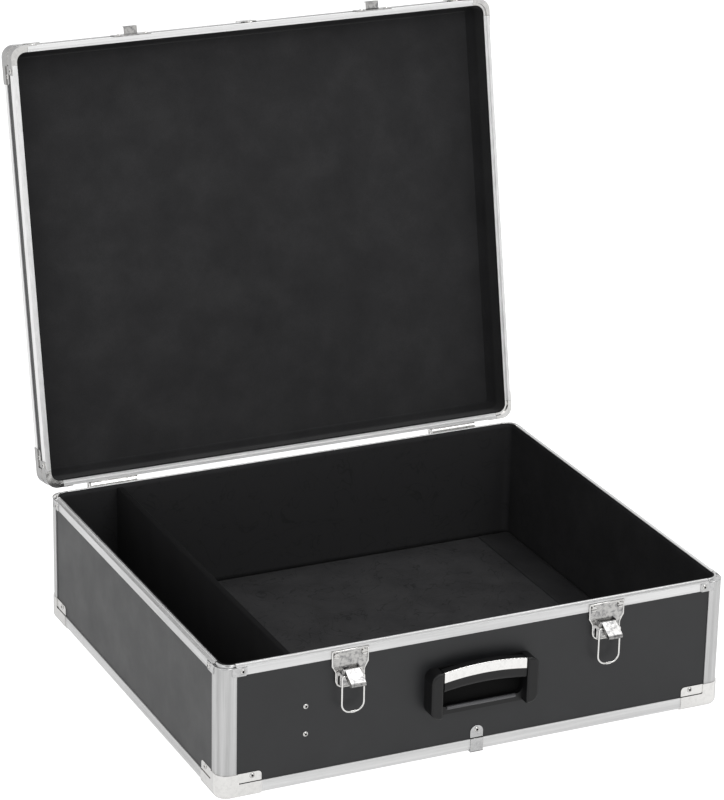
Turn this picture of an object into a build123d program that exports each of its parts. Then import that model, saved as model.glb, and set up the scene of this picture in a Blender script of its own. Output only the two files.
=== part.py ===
from build123d import *
from math import cos, radians, sin
import os

os.makedirs("parts", exist_ok=True)

# A flight case with an aluminium frame, lying on its bottom with the lid open.
# X runs to the right, Y to the rear and Z up; the origin is under the middle of the base.
# All sizes are in millimetres and degrees.

# The case over its aluminium frame
case_width = 560.0
case_depth = 474.0
base_height = 141.0
lid_height = 38.0
open_angle = 101.0

# Boards, linings and the extrusions that hold them
board = 4.0
lining = 1.0
wall = 1.0
joint_gap = 0.2
mating_gap = 0.3

# Corner posts, edge rails and rim rails
post_leg = 18.5
post_radius = 12.0
bottom_leg = 13.7
bottom_radius = 4.0
lid_leg = 14.6
lid_radius = 8.0
web_clearance = 0.4
base_rim_height = 8.8
lid_rim_height = 10.5
tongue_height = 2.0
tongue_width = 2.6
tongue_round = 0.6
lining_radius = 10.0

# Steel corner caps, rim brackets and clips
cap_sheet = 1.0
base_cap_reach = 45.0
base_cap_height = 25.0
base_cap_rivet_along = 35.0
base_cap_rivet_up = 21.4
lid_cap_reach = 40.0
lid_cap_height = 23.0
lid_cap_rivet_along = 31.0
lid_cap_rivet_up = 19.2
cap_end_radius = 4.0
cap_foot = 14.0
cap_slit = 0.6
bracket_sheet = 0.8
bracket_reach = 29.0
bracket_rivet_along = 24.5
bracket_skirt_drop = 1.6
clip_sheet = 0.8
clip_width = 18.0
clip_base_height = 28.0
clip_lid_height = 24.0
clip_hook = 12.0
clip_end_radius = 8.8
clip_rivet_edge = 4.3

# Rivets and screws
rivet_head = 5.8
rivet_head_height = 1.2
rivet_edge = 0.5
rivet_shank = 3.2
hole_clearance = 0.1
screw_head = 6.4
screw_head_height = 1.8
screw_slot = 0.9

# Divider on the left and the angles that hold it
divider_face = -198.5
divider_thickness = 7.0
divider_top = 139.4
angle_leg = 20.0
angle_sheet = 1.5
angle_height = 60.0
angle_centre = 70.6
angle_rivet_along = 15.0
divider_rivet_along = -188.0
divider_rivet_heights = (85.7, 55.6)

# Latches
latch_along = 142.0
plate_sheet = 1.2
plate_width = 40.0
plate_waist = 32.0
plate_top = 140.4
plate_shoulder = 124.0
plate_waist_height = 118.0
plate_bottom = 100.0
plate_radius = 9.0
plate_slot_along = -12.0
plate_slot_height = 108.0
plate_slot_length = 11.0
plate_slot_width = 2.2
screw_along = 15.0
screw_height = 135.0
lower_screw_height = 105.5
ear_sheet = 1.2
ear_radius = 3.4
lever_width = 15.8
lever_play = 0.5
lever_pin_diameter = 3.0
pin_clearance = 0.05
lever_pin_out = 4.8
lever_pin_height = 118.0
lever_length = 17.0
lever_hub = 3.2
lever_curl = 2.5
lever_droop = 25.0
lever_skin = 1.4
bail_wire = 2.0
bail_span = 23.7
bail_length = 39.0
bail_bend = 2.4
bail_round = 9.4
bail_pivot_out = 8.6
bail_pivot_height = 115.0
bail_bead = 2.9
bail_bead_length = 5.0

# Keepers on the lid, their heights measured from the mating plane
keeper_width = 42.0
keeper_bottom = 1.0
keeper_top = 17.0
keeper_hook_width = 15.0
keeper_shelf = 9.0
keeper_hook_out = 9.8
keeper_lip = 6.0
keeper_sheet = 1.3
keeper_round = 2.6
keeper_rivet_along = 15.0
keeper_rivet_up = 6.0

# Handle
handle_width = 119.0
handle_bottom = 52.0
handle_top = 102.0
handle_radius = 10.0
handle_plate = 2.2
handle_lip_proud = 8.0
handle_lip_height = 8.0
handle_block_width = 13.0
handle_block_proud = 18.0
handle_pocket_radius = 8.0
handle_edge = 2.4
grip_play = 1.0
grip_back = 5.0
grip_front = 16.8
grip_bottom = 80.0
grip_end_top = 102.3
grip_rise = 3.7
grip_edge = 4.0
band_height = 11.0
band_sheet = 1.2
handle_pin_diameter = 4.0
handle_pin_out = 11.0
handle_pin_height = 98.0
handle_pin_depth = 4.0
handle_pin_reach = 9.0

# Hinges
hinge_along = 205.0
hinge_width = 56.0
hinge_axis_out = 4.0
hinge_knuckle = 7.2
hinge_pin_diameter = 4.0
hinge_knuckles = 5
hinge_knuckle_gap = 0.3
hinge_leaf = 1.2
base_leaf_drop = 27.0
lid_leaf_rise = 22.0
hinge_rivet_along = 19.0
base_leaf_rivets = (13.5, 22.0)
lid_leaf_rivet = 16.6
stop_reach = 9.5
stop_clearance = 2.0

# Levels and widths that follow from the sizes above
frame_width = board + 2 * wall
rail_underside = cap_sheet
mating_plane = base_height
lid_underside = mating_plane + mating_gap
lid_top = mating_plane + lid_height
hinge_height = mating_plane + mating_gap / 2
hole_diameter = rivet_shank + 2 * hole_clearance
groove_roof = mating_plane + tongue_height + mating_gap
lining_outer = frame_width
lining_inner = frame_width + lining

OUTWARDS = {
    "front": Vector(0, -1, 0),
    "rear": Vector(0, 1, 0),
    "left": Vector(-1, 0, 0),
    "right": Vector(1, 0, 0),
}
CORNERS = ("front_left", "front_right", "rear_left", "rear_right")
LATCHES = {"left": -latch_along, "right": latch_along}
HINGES = {"left": -hinge_along, "right": hinge_along}
LOW = (Align.MIN, Align.MIN)
LOWEST = (Align.MIN, Align.MIN, Align.MIN)
hinge_axis = Axis((0, case_depth / 2 + hinge_axis_out, hinge_height), (1, 0, 0))


def span(side):
    """Length of one side of the case, from corner to corner."""
    return case_width if side in ("front", "rear") else case_depth


def reach(side):
    """Distance from the middle of the case to the outside of one side."""
    return case_depth / 2 if side in ("front", "rear") else case_width / 2


def face_plane(side, along, height, out=0.0):
    """Plane on the outside of a side: its x runs to the right seen from outside, its y up."""
    outward = OUTWARDS[side]
    across = Vector(0, 0, 1).cross(outward)
    origin = outward * (reach(side) + out) + across * along + Vector(0, 0, height)
    return Plane(origin=origin, x_dir=across, z_dir=outward)


def end_plane(side, height, downwards=False):
    """Plane across a side: its x runs inwards from the outer face, its y up or downwards."""
    outward = OUTWARDS[side]
    across = Vector(0, 0, 1).cross(outward)
    origin = outward * reach(side) + Vector(0, 0, height)
    return Plane(origin=origin, x_dir=-outward, z_dir=-across if downwards else across)


def profile_plane(side, along, out=0.0, height=0.0):
    """Plane across a side at one place: its x runs outwards, its y up."""
    outward = OUTWARDS[side]
    across = Vector(0, 0, 1).cross(outward)
    origin = outward * (reach(side) + out) + across * along + Vector(0, 0, height)
    return Plane(origin=origin, x_dir=outward, z_dir=outward.cross(Vector(0, 0, 1)))


def write_part(piece, name):
    """Labels a finished piece and writes its STEP file."""
    piece.label = name
    export_step(piece, f"parts/{name}.step")


def at_corner(piece, corner):
    """Places a piece, made with its corner at the origin, at one corner of the case."""
    placed = Pos(-case_width / 2, -case_depth / 2, 0) * piece
    if "right" in corner:
        placed = mirror(placed, about=Plane.YZ)
    if "rear" in corner:
        placed = mirror(placed, about=Plane.XZ)
    return placed


def swing_open(piece):
    """Turns a lid piece, modelled with the lid closed, to the open lid's place."""
    return piece.rotate(hinge_axis, -open_angle)


# Rivets, screws and the places they go to


def rivet(length):
    """Pop rivet with a low domed head, its shank pointing down from the origin."""
    with BuildPart() as made:
        with BuildSketch():
            Circle(rivet_shank / 2)
        extrude(amount=-length)
        with BuildSketch():
            Circle(rivet_head / 2)
        extrude(amount=rivet_head_height)
        chamfer(made.edges().group_by(Axis.Z)[-1], rivet_edge, rivet_edge * 2)
    return made.part


def screw(length, head=screw_head):
    """Pan-head screw with a slot, its shank pointing down from the origin."""
    with BuildPart() as made:
        with BuildSketch():
            Circle(rivet_shank / 2)
        extrude(amount=-length)
        with BuildSketch():
            Circle(head / 2)
        extrude(amount=screw_head_height)
        chamfer(made.edges().group_by(Axis.Z)[-1], rivet_edge)
        with BuildSketch(Plane.XY.offset(screw_head_height)):
            Rectangle(head, screw_slot)
        extrude(amount=-screw_head_height / 2, mode=Mode.SUBTRACT)
    return made.part


def shank_to_board(out):
    """Length of a shank that ends at the inner face of the board behind its head."""
    return out + wall + board


def cap_rivet_seats(side, along, height):
    """Rivet seats of the two corner caps that a side has."""
    offset = span(side) / 2 - along
    out = cap_sheet - wall
    return [(face_plane(side, place, height, out), shank_to_board(out)) for place in (-offset, offset)]


def bracket_rivet_seats(side, height):
    """Rivet seats of the two rim brackets that a side has."""
    offset = span(side) / 2 - bracket_rivet_along
    out = bracket_sheet
    return [(face_plane(side, place, height, out), shank_to_board(out)) for place in (-offset, offset)]


def clip_rivet_seats(side, height):
    """Rivet seat of the clip in the middle of the front or the rear."""
    if side not in ("front", "rear"):
        return []
    out = clip_sheet - wall
    return [(face_plane(side, 0, height, out), shank_to_board(out))]


def divider_rivet_seats(side):
    """Rivet seats of the angle that holds one end of the divider."""
    if side not in ("front", "rear"):
        return []
    along = divider_rivet_along if side == "front" else -divider_rivet_along
    length = board + wall + lining + angle_sheet
    return [(face_plane(side, along, height, -wall), length) for height in divider_rivet_heights]


def hinge_rivet_seats(side, heights):
    """Rivet seats of the hinge leaves on the rear."""
    if side != "rear":
        return []
    seats = []
    for along in HINGES.values():
        for offset in (-hinge_rivet_along, hinge_rivet_along):
            for height in heights:
                plane = face_plane(side, along + offset, height, hinge_leaf - wall)
                seats.append((plane, shank_to_board(hinge_leaf - wall)))
    return seats


def keeper_rivet_seats(side):
    """Rivet seats of the keepers on the front of the lid."""
    if side != "front":
        return []
    height = lid_underside + keeper_rivet_up
    offsets = (-keeper_rivet_along, keeper_rivet_along)
    return [
        (face_plane(side, along + offset, height, keeper_sheet), shank_to_board(keeper_sheet))
        for along in LATCHES.values()
        for offset in offsets
    ]


def latch_screw_seats():
    """Seats of the three screws that hold each latch plate."""
    seats = []
    for along in LATCHES.values():
        for offset, height in (
            (-screw_along, screw_height),
            (screw_along, screw_height),
            (0, lower_screw_height),
        ):
            plane = face_plane("front", along + offset, height, plate_sheet)
            seats.append((plane, shank_to_board(plate_sheet)))
    return seats


bracket_rivet_height = mating_plane - base_rim_height / 2
lid_bracket_rivet_height = lid_underside + lid_rim_height / 2 + joint_gap
base_clip_rivet_height = rail_underside + clip_base_height - clip_rivet_edge - joint_gap
lid_clip_rivet_height = lid_top - clip_lid_height + clip_rivet_edge + joint_gap

base_seats = {
    side: cap_rivet_seats(side, base_cap_rivet_along, rail_underside + base_cap_rivet_up)
    + bracket_rivet_seats(side, bracket_rivet_height)
    + clip_rivet_seats(side, base_clip_rivet_height)
    + divider_rivet_seats(side)
    + hinge_rivet_seats(side, [mating_plane - drop for drop in base_leaf_rivets])
    for side in OUTWARDS
}
lid_seats = {
    side: cap_rivet_seats(side, lid_cap_rivet_along, lid_top - lid_cap_rivet_up)
    + bracket_rivet_seats(side, lid_bracket_rivet_height)
    + clip_rivet_seats(side, lid_clip_rivet_height)
    + hinge_rivet_seats(side, [lid_underside + lid_leaf_rivet])
    + keeper_rivet_seats(side)
    for side in OUTWARDS
}


def drill(seats):
    """Drills the rivet or screw holes of these seats through the part under construction."""
    for plane, length in seats:
        with Locations(plane):
            Hole(hole_diameter / 2, length)


# The aluminium extrusions


def corner_section(leg, radius):
    """L-shaped extrusion with a rounded outside, a chamber and a slot for a board in each leg."""
    slot_start = max(radius + wall + web_clearance, frame_width)
    chamber_leg = slot_start - 2 * wall
    with BuildSketch() as chamber:
        with Locations((wall, wall)):
            Rectangle(chamber_leg, board, align=LOW)
            Rectangle(board, chamber_leg, align=LOW)
        fillet(chamber.vertices().sort_by_distance((0, 0))[0], radius - wall)
    with BuildSketch() as section:
        Rectangle(leg, frame_width, align=LOW)
        Rectangle(frame_width, leg, align=LOW)
        fillet(section.vertices().sort_by_distance((0, 0))[0], radius)
        with Locations((slot_start, wall)):
            Rectangle(leg, board, align=LOW, mode=Mode.SUBTRACT)
        with Locations((wall, slot_start)):
            Rectangle(board, leg, align=LOW, mode=Mode.SUBTRACT)
        add(chamber.sketch, mode=Mode.SUBTRACT)
    return section.sketch


def slot_depth_start(radius):
    """Distance from the outside at which a board in a corner extrusion ends."""
    return max(radius + wall + web_clearance, frame_width) + joint_gap


def base_rim_section():
    """Channel over the top edge of a base panel, with the tongue on its inner half."""
    with BuildSketch() as section:
        with Locations((0, mating_plane - base_rim_height)):
            Rectangle(frame_width, base_rim_height, align=LOW)
        with Locations((frame_width - tongue_width, mating_plane)):
            Rectangle(tongue_width, tongue_height, align=LOW)
        tongue_edges = section.vertices().group_by(Axis.Y)[-1]
        fillet(tongue_edges, tongue_round)
        with Locations((wall, mating_plane - base_rim_height)):
            Rectangle(board, base_rim_height - wall, align=LOW, mode=Mode.SUBTRACT)
    return section.sketch


def lid_rim_section():
    """Channel over the edge of a lid panel, stepped to clear the tongue."""
    groove = frame_width - tongue_width - mating_gap
    with BuildSketch() as section:
        with Locations((0, lid_underside)):
            Rectangle(frame_width, lid_rim_height, align=LOW)
        with Locations((groove, lid_underside)):
            Rectangle(frame_width, groove_roof - lid_underside, align=LOW, mode=Mode.SUBTRACT)
        with Locations((wall, groove_roof + wall)):
            Rectangle(board, lid_rim_height, align=LOW, mode=Mode.SUBTRACT)
        with Locations((wall, lid_underside + wall)):
            Rectangle(groove - 2 * wall, lid_rim_height, align=LOW, mode=Mode.SUBTRACT)
    return section.sketch


def rail(section, side, plane, seats=()):
    """Length of extrusion between the corner posts of a side, drilled for its rivets."""
    with BuildPart() as bar:
        with BuildSketch(plane):
            add(section)
        extrude(amount=span(side) / 2 - post_leg - joint_gap, both=True)
        drill(seats)
    return bar.part


def panel(side, bottom, top, seats):
    """Board of a side, its ends in the slots of the corner posts."""
    half = span(side) / 2 - slot_depth_start(post_radius)
    with BuildPart() as sheet:
        with BuildSketch(end_plane(side, 0)):
            with Locations((wall, bottom)):
                Rectangle(board, top - bottom, align=LOW)
        extrude(amount=half, both=True)
        drill(seats)
    return sheet.part


def rounded_corner(size, height, radius, edge_radius, skin=0.0):
    """Corner of a box at the origin, its upright and its lower edges rounded."""
    with BuildPart() as corner:
        with Locations((-skin, -skin, -skin)):
            Box(size + skin, size + skin, height + skin, align=LOWEST)
        upright = corner.edges().filter_by(Axis.Z).sort_by_distance((-skin, -skin, 0))[0]
        fillet(upright, radius + skin)
        lower = corner.edges().group_by(Axis.Z)[0].sort_by_distance((-skin, -skin, -skin))[:3]
        fillet(lower, edge_radius + skin)
    return corner.part


def corner_post(length, edge_radius):
    """Corner extrusion, its end trimmed to the rounded edges of the case."""
    core = rounded_corner(post_leg, length, post_radius, edge_radius)
    with BuildPart() as post:
        with BuildSketch():
            add(corner_section(post_leg, post_radius))
        extrude(amount=length)
        add(core, mode=Mode.INTERSECT)
    return post.part


# Pressed steel at the corners and edges


def corner_cap(size, height, edge_radius, rail_leg, rivet_along, rivet_up):
    """Pressed cap over a corner, with tabs stepped in to the boards and riveted to them."""
    outer = rounded_corner(size, height, post_radius, edge_radius, cap_sheet)
    core = rounded_corner(2 * size, 2 * height, post_radius, edge_radius)
    diagonal = Plane(origin=(0, 0, 0), x_dir=(1, 1, 0), z_dir=(1, -1, 0))
    tab_start = post_leg + joint_gap
    tab_bottom = rail_leg + joint_gap
    with BuildPart() as cap:
        add(outer)
        add(core, mode=Mode.SUBTRACT)
        with Locations((tab_start, -cap_sheet, tab_bottom)):
            Box(size - tab_start, cap_sheet + wall, height - tab_bottom, align=LOWEST)
        with Locations((tab_start + cap_sheet, -cap_sheet, tab_bottom + cap_sheet)):
            Box(size, wall, height, align=LOWEST, mode=Mode.SUBTRACT)
        with Locations((tab_start + 2 * cap_sheet, -cap_sheet, tab_bottom + cap_sheet - cap_slit)):
            Box(size, cap_sheet + wall, cap_slit, align=LOWEST, mode=Mode.SUBTRACT)
        tab_corners = cap.edges().filter_by(Axis.Y).sort_by_distance((size, 0, height))
        fillet(tab_corners[0], cap_end_radius)
        with BuildSketch(Plane.XY.offset(-cap_sheet)):
            with BuildLine():
                Polyline(
                    (size + cap_sheet, cap_foot),
                    (cap_foot, size + cap_sheet),
                    (size + cap_sheet, size + cap_sheet),
                    close=True,
                )
            make_face()
        extrude(amount=cap_sheet, mode=Mode.SUBTRACT)
        with Locations(Plane(origin=(rivet_along, 0, rivet_up), z_dir=(0, -1, 0))):
            Hole(hole_diameter / 2, 2 * wall)
        split(bisect_by=diagonal, keep=Keep.TOP)
        mirror(about=diagonal)
    return cap.part


def corner_bands(level, thickness, outside, inside, size):
    """Four corners of a band round the case, each of its edges an inset and a radius."""
    outer_inset, outer_radius = outside
    inner_inset, inner_radius = inside
    with BuildPart() as bands:
        with BuildSketch(Plane.XY.offset(level)):
            RectangleRounded(case_width - 2 * outer_inset, case_depth - 2 * outer_inset, outer_radius)
            RectangleRounded(
                case_width - 2 * inner_inset,
                case_depth - 2 * inner_inset,
                inner_radius,
                mode=Mode.SUBTRACT,
            )
            Rectangle(2 * case_width, case_depth - 2 * size, mode=Mode.SUBTRACT)
            Rectangle(case_width - 2 * size, 2 * case_depth, mode=Mode.SUBTRACT)
        extrude(amount=thickness)
    return bands.part


def clip(side, plane, height, rail_leg, seats):
    """Steel clip hooked round the rail in the middle of a side, its tab riveted to the board."""
    step = rail_leg + joint_gap
    with BuildPart() as strap:
        with BuildSketch(plane):
            with Locations((-clip_sheet, -clip_sheet)):
                Rectangle(clip_sheet + clip_hook, clip_sheet, align=LOW)
                Rectangle(clip_sheet, step + 2 * clip_sheet, align=LOW)
            with Locations((-clip_sheet, step)):
                Rectangle(wall + clip_sheet, clip_sheet, align=LOW)
            with Locations((wall - clip_sheet, step)):
                Rectangle(clip_sheet, height - step, align=LOW)
        extrude(amount=clip_width / 2, both=True)
        tip = plane.origin + plane.y_dir * height
        corners = strap.edges().filter_by(Axis.Y).sort_by(lambda edge: abs(edge.center().Z - tip.Z))
        fillet(corners[:2], min(clip_end_radius, clip_width / 2 - joint_gap))
        drill(seats)
    return strap.part


# Base: frame, boards and linings

bottom_section = corner_section(bottom_leg, bottom_radius)
floor_level = rail_underside + frame_width
panel_bottom = rail_underside + slot_depth_start(bottom_radius)
panel_top = mating_plane - wall - joint_gap

for side in OUTWARDS:
    front_screws = latch_screw_seats() if side == "front" else []
    seats = base_seats[side] + front_screws
    write_part(panel(side, panel_bottom, panel_top, seats), f"panel_{side}")
    write_part(rail(bottom_section, side, end_plane(side, rail_underside)), f"bottom_rail_{side}")
    write_part(rail(base_rim_section(), side, end_plane(side, 0), seats), f"rim_rail_{side}")

post = corner_post(mating_plane - wall - rail_underside, bottom_radius)
base_cap = corner_cap(
    base_cap_reach,
    base_cap_height,
    bottom_radius,
    bottom_leg,
    base_cap_rivet_along,
    base_cap_rivet_up,
)
for corner in CORNERS:
    write_part(at_corner(Pos(0, 0, rail_underside) * post, corner), f"corner_post_{corner}")
    write_part(at_corner(Pos(0, 0, rail_underside) * base_cap, corner), f"bottom_cap_{corner}")

skirt_outside = (-bracket_sheet, post_radius + bracket_sheet)
post_outside = (0, post_radius)
frame_inside = (frame_width, lining_radius)
tongue_outside = (frame_width - tongue_width, lining_radius + tongue_width)
base_skirt = mating_plane - base_rim_height - bracket_skirt_drop

with BuildPart() as rim_corners:
    add(corner_bands(mating_plane - wall, wall, skirt_outside, frame_inside, post_leg))
    add(corner_bands(mating_plane, tongue_height, tongue_outside, frame_inside, post_leg))
    add(
        corner_bands(
            base_skirt,
            mating_plane - base_skirt,
            skirt_outside,
            post_outside,
            bracket_reach,
        )
    )
    for side in OUTWARDS:
        drill(bracket_rivet_seats(side, bracket_rivet_height))
write_part(rim_corners.part, "rim_corners")

with BuildPart() as bottom_clips:
    for side in ("front", "rear"):
        seats = clip_rivet_seats(side, base_clip_rivet_height)
        add(clip(side, end_plane(side, rail_underside), clip_base_height, bottom_leg, seats))
write_part(bottom_clips.part, "bottom_clips")

with BuildPart() as bottom_board:
    with BuildSketch(Plane.XY.offset(rail_underside + wall)):
        inset = slot_depth_start(bottom_radius)
        Rectangle(case_width - 2 * inset, case_depth - 2 * inset)
    extrude(amount=board)
write_part(bottom_board.part, "bottom_board")

with BuildPart() as wall_lining:
    with BuildSketch(Plane.XY.offset(floor_level)):
        RectangleRounded(case_width - 2 * lining_outer, case_depth - 2 * lining_outer, lining_radius)
        offset(amount=-lining, mode=Mode.SUBTRACT)
    extrude(amount=mating_plane + tongue_height - joint_gap - floor_level)
    for side in ("front", "rear"):
        drill(divider_rivet_seats(side))
write_part(wall_lining.part, "wall_lining")

with BuildPart() as floor_lining:
    with BuildSketch(Plane.XY.offset(floor_level)):
        inset = lining_inner + joint_gap
        RectangleRounded(case_width - 2 * inset, case_depth - 2 * inset, lining_radius - lining)
    extrude(amount=lining)
write_part(floor_lining.part, "floor_lining")

# Divider and the angles at its ends

divider_length = case_depth - 2 * (lining_inner + joint_gap)
angle_wall = case_depth / 2 - lining_inner
divider_bottom = floor_level + lining


def divider_side_seats():
    """Rivets through the angles into the divider."""
    offset_in = angle_wall - angle_rivet_along
    out = divider_face + angle_sheet
    return [
        (Plane(origin=(out, place, height), z_dir=(1, 0, 0)), angle_sheet + divider_thickness / 2)
        for place in (-offset_in, offset_in)
        for height in divider_rivet_heights
    ]


with BuildPart() as divider:
    with Locations((divider_face - divider_thickness, 0, divider_bottom)):
        Box(
            divider_thickness,
            divider_length,
            divider_top - divider_bottom,
            align=(Align.MIN, Align.CENTER, Align.MIN),
        )
    drill(divider_side_seats())
write_part(divider.part, "divider")

with BuildPart() as divider_angles:
    with BuildSketch(Plane.XY.offset(angle_centre - angle_height / 2)):
        with Locations((divider_face, -angle_wall)):
            Rectangle(angle_leg, angle_sheet, align=LOW)
            Rectangle(angle_sheet, angle_leg, align=LOW)
    extrude(amount=angle_height)
    mirror(about=Plane.XZ)
    drill(divider_side_seats())
    for side in ("front", "rear"):
        drill(divider_rivet_seats(side))
write_part(divider_angles.part, "divider_angles")

# Latches: plate with ears, lever on its pin, wire bail in the lever


def latch_plate(along):
    """Shield-shaped plate with its edge turned back to the panel and two ears for the lever."""
    half, waist = plate_width / 2, plate_waist / 2
    face = face_plane("front", along, 0)
    panel_edge = mating_plane - base_rim_height - joint_gap
    with BuildSketch() as shield:
        with BuildLine():
            Polyline(
                (-half, plate_top),
                (-half, plate_shoulder),
                (-waist, plate_waist_height),
                (-waist, plate_bottom),
                (waist, plate_bottom),
                (waist, plate_waist_height),
                (half, plate_shoulder),
                (half, plate_top),
                close=True,
            )
        make_face()
        fillet(shield.vertices().group_by(Axis.Y)[0], plate_radius)
    with BuildSketch() as turned_edge:
        add(shield.sketch)
        offset(amount=-plate_sheet, mode=Mode.SUBTRACT)
        with Locations((0, panel_edge)):
            Rectangle(
                2 * plate_width, plate_width, align=(Align.CENTER, Align.MIN), mode=Mode.SUBTRACT
            )
    with BuildSketch() as ear:
        with Locations((lever_pin_out / 2, lever_pin_height)):
            Rectangle(lever_pin_out, 2 * ear_radius)
        with Locations((lever_pin_out, lever_pin_height)):
            Circle(ear_radius)
            Circle(lever_pin_diameter / 2 + pin_clearance, mode=Mode.SUBTRACT)
    with BuildPart() as plate:
        with BuildSketch(face):
            add(shield.sketch)
            with Locations((plate_slot_along, plate_slot_height)):
                SlotOverall(plate_slot_length, plate_slot_width, rotation=90, mode=Mode.SUBTRACT)
        extrude(amount=plate_sheet)
        with BuildSketch(face):
            add(turned_edge.sketch)
        extrude(amount=-wall)
        ear_start = lever_width / 2 + lever_play
        for place in (-ear_start - ear_sheet, ear_start):
            with BuildSketch(profile_plane("front", along + place + ear_sheet)):
                add(ear.sketch)
            extrude(amount=ear_sheet)
        drill(latch_screw_seats())
    return plate.part


def lever_plane(along):
    """Plane across a lever, its origin on the pin and its x along the lever."""
    droop = radians(lever_droop)
    outward = OUTWARDS["front"]
    origin = profile_plane("front", along, lever_pin_out, lever_pin_height).origin
    x_dir = outward * cos(droop) - Vector(0, 0, sin(droop))
    return Plane(origin=origin, x_dir=x_dir, z_dir=outward.cross(Vector(0, 0, 1)))


def latch_lever(along):
    """Pressed lever, open below, with a rolled end and a bore for its pin and for the bail."""
    plane = lever_plane(along)
    bail_plane = profile_plane("front", along, bail_pivot_out, bail_pivot_height)
    with BuildPart() as lever:
        with BuildSketch(plane):
            Circle(lever_hub)
            with Locations((lever_length, -lever_hub + lever_curl)):
                Circle(lever_curl)
            make_hull()
        extrude(amount=lever_width / 2, both=True)
        with BuildSketch(plane):
            with BuildLine():
                Polyline(
                    (lever_hub + lever_skin, lever_hub - 2 * lever_skin),
                    (lever_length - lever_curl, lever_curl - 2 * lever_skin),
                    (lever_length - lever_curl, -2 * lever_hub),
                    (lever_hub + lever_skin, -2 * lever_hub),
                    close=True,
                )
            make_face()
        extrude(amount=lever_width / 2 - lever_skin, both=True, mode=Mode.SUBTRACT)
        with BuildSketch(plane):
            Circle(lever_pin_diameter / 2 + pin_clearance)
        extrude(amount=lever_width, both=True, mode=Mode.SUBTRACT)
        with BuildSketch(bail_plane):
            Circle(bail_wire / 2 + pin_clearance)
        extrude(amount=lever_width, both=True, mode=Mode.SUBTRACT)
    return lever.part


def latch_bail(along):
    """Wire loop whose ends turn inwards into the lever."""
    half = bail_span / 2
    end = lever_width / 2 - lever_skin
    plane = face_plane("front", along, bail_pivot_height, bail_pivot_out)
    with BuildPart() as bail:
        with BuildLine(plane) as route:
            FilletPolyline(
                (-end, 0),
                (-half, 0),
                (-half, -bail_length),
                (half, -bail_length),
                (half, 0),
                (end, 0),
                radius=(bail_bend, bail_round, bail_round, bail_bend),
            )
        with BuildSketch(Plane(origin=route.line @ 0, z_dir=route.line % 0)):
            Circle(bail_wire / 2)
        sweep()
        middle = face_plane("front", along, bail_pivot_height - bail_length, bail_pivot_out)
        with BuildSketch(Plane(origin=middle.origin, z_dir=middle.x_dir)):
            Circle(bail_bead / 2)
        extrude(amount=bail_bead_length / 2, both=True)
    return bail.part


def keeper(along):
    """Plate on the lid's rim with the hook that the bail goes over."""
    face = face_plane("front", along, lid_underside + (keeper_bottom + keeper_top) / 2)
    shelf = lid_underside + keeper_shelf
    rim_top = lid_underside + lid_rim_height
    with BuildPart() as catch:
        with BuildSketch(face):
            RectangleRounded(keeper_width, keeper_top - keeper_bottom, keeper_round)
        extrude(amount=keeper_sheet)
        with BuildSketch(face):
            RectangleRounded(keeper_width, keeper_top - keeper_bottom, keeper_round)
            offset(amount=-keeper_sheet, mode=Mode.SUBTRACT)
            with Locations((0, rim_top + joint_gap - face.origin.Z)):
                Rectangle(
                    2 * keeper_width,
                    keeper_width,
                    align=(Align.CENTER, Align.MAX),
                    mode=Mode.SUBTRACT,
                )
        extrude(amount=-wall)
        with BuildSketch(profile_plane("front", along)):
            with Locations((0, shelf)):
                Rectangle(keeper_hook_out, keeper_sheet, align=LOW)
            with Locations((keeper_hook_out - keeper_sheet, shelf)):
                Rectangle(keeper_sheet, keeper_lip, align=LOW)
        extrude(amount=keeper_hook_width / 2, both=True)
        lip_edges = catch.edges().filter_by(Axis.Y).group_by(Axis.Y)[0]
        fillet(lip_edges, keeper_round)
        drill(keeper_rivet_seats("front"))
    return catch.part


for name, along in LATCHES.items():
    write_part(latch_plate(along), f"latch_plate_{name}")
    write_part(latch_lever(along), f"latch_lever_{name}")
    write_part(latch_bail(along), f"latch_bail_{name}")
    write_part(swing_open(keeper(along)), f"lid_keeper_{name}")

lever_pin_length = lever_width + 2 * (lever_play + ear_sheet)
with BuildPart() as lever_pins:
    for along in LATCHES.values():
        with BuildSketch(profile_plane("front", along, lever_pin_out, lever_pin_height)):
            Circle(lever_pin_diameter / 2)
        extrude(amount=lever_pin_length / 2, both=True)
write_part(lever_pins.part, "lever_pins")

with BuildPart() as latch_screws:
    for plane, length in latch_screw_seats():
        with Locations(plane):
            add(screw(length))
write_part(latch_screws.part, "latch_screws")

# Handle: moulded dish with end blocks, grip on two pins, metal band along the grip

handle_face = face_plane("front", 0, 0, -wall)
handle_middle = (handle_bottom + handle_top) / 2
pocket_width = handle_width - 2 * handle_block_width
grip_width = pocket_width - 2 * grip_play

with BuildSketch() as dish_outline:
    with Locations((0, handle_middle)):
        RectangleRounded(handle_width, handle_top - handle_bottom, handle_radius)

with BuildPart() as handle_frame:
    with BuildSketch(handle_face):
        add(dish_outline.sketch)
    extrude(amount=handle_plate)
    with BuildSketch(handle_face):
        add(dish_outline.sketch)
        with Locations((0, handle_bottom + handle_lip_height + handle_top / 2)):
            RectangleRounded(pocket_width, handle_top, handle_pocket_radius, mode=Mode.SUBTRACT)
    extrude(amount=handle_lip_proud)
    with BuildSketch(handle_face):
        add(dish_outline.sketch)
        with Locations((0, handle_middle)):
            Rectangle(pocket_width, handle_width, mode=Mode.SUBTRACT)
    extrude(amount=handle_block_proud)
    block_edges = handle_frame.faces().group_by(Axis.Y)[0].edges()
    fillet(block_edges, handle_edge)
    for end in (-1, 1):
        place = end * pocket_width / 2
        bore_plane = profile_plane("front", place, handle_pin_out - wall, handle_pin_height)
        with BuildSketch(bore_plane):
            Circle(handle_pin_diameter / 2)
        extrude(amount=handle_pin_depth, both=True, mode=Mode.SUBTRACT)
write_part(handle_frame.part, "handle_frame")

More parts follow.
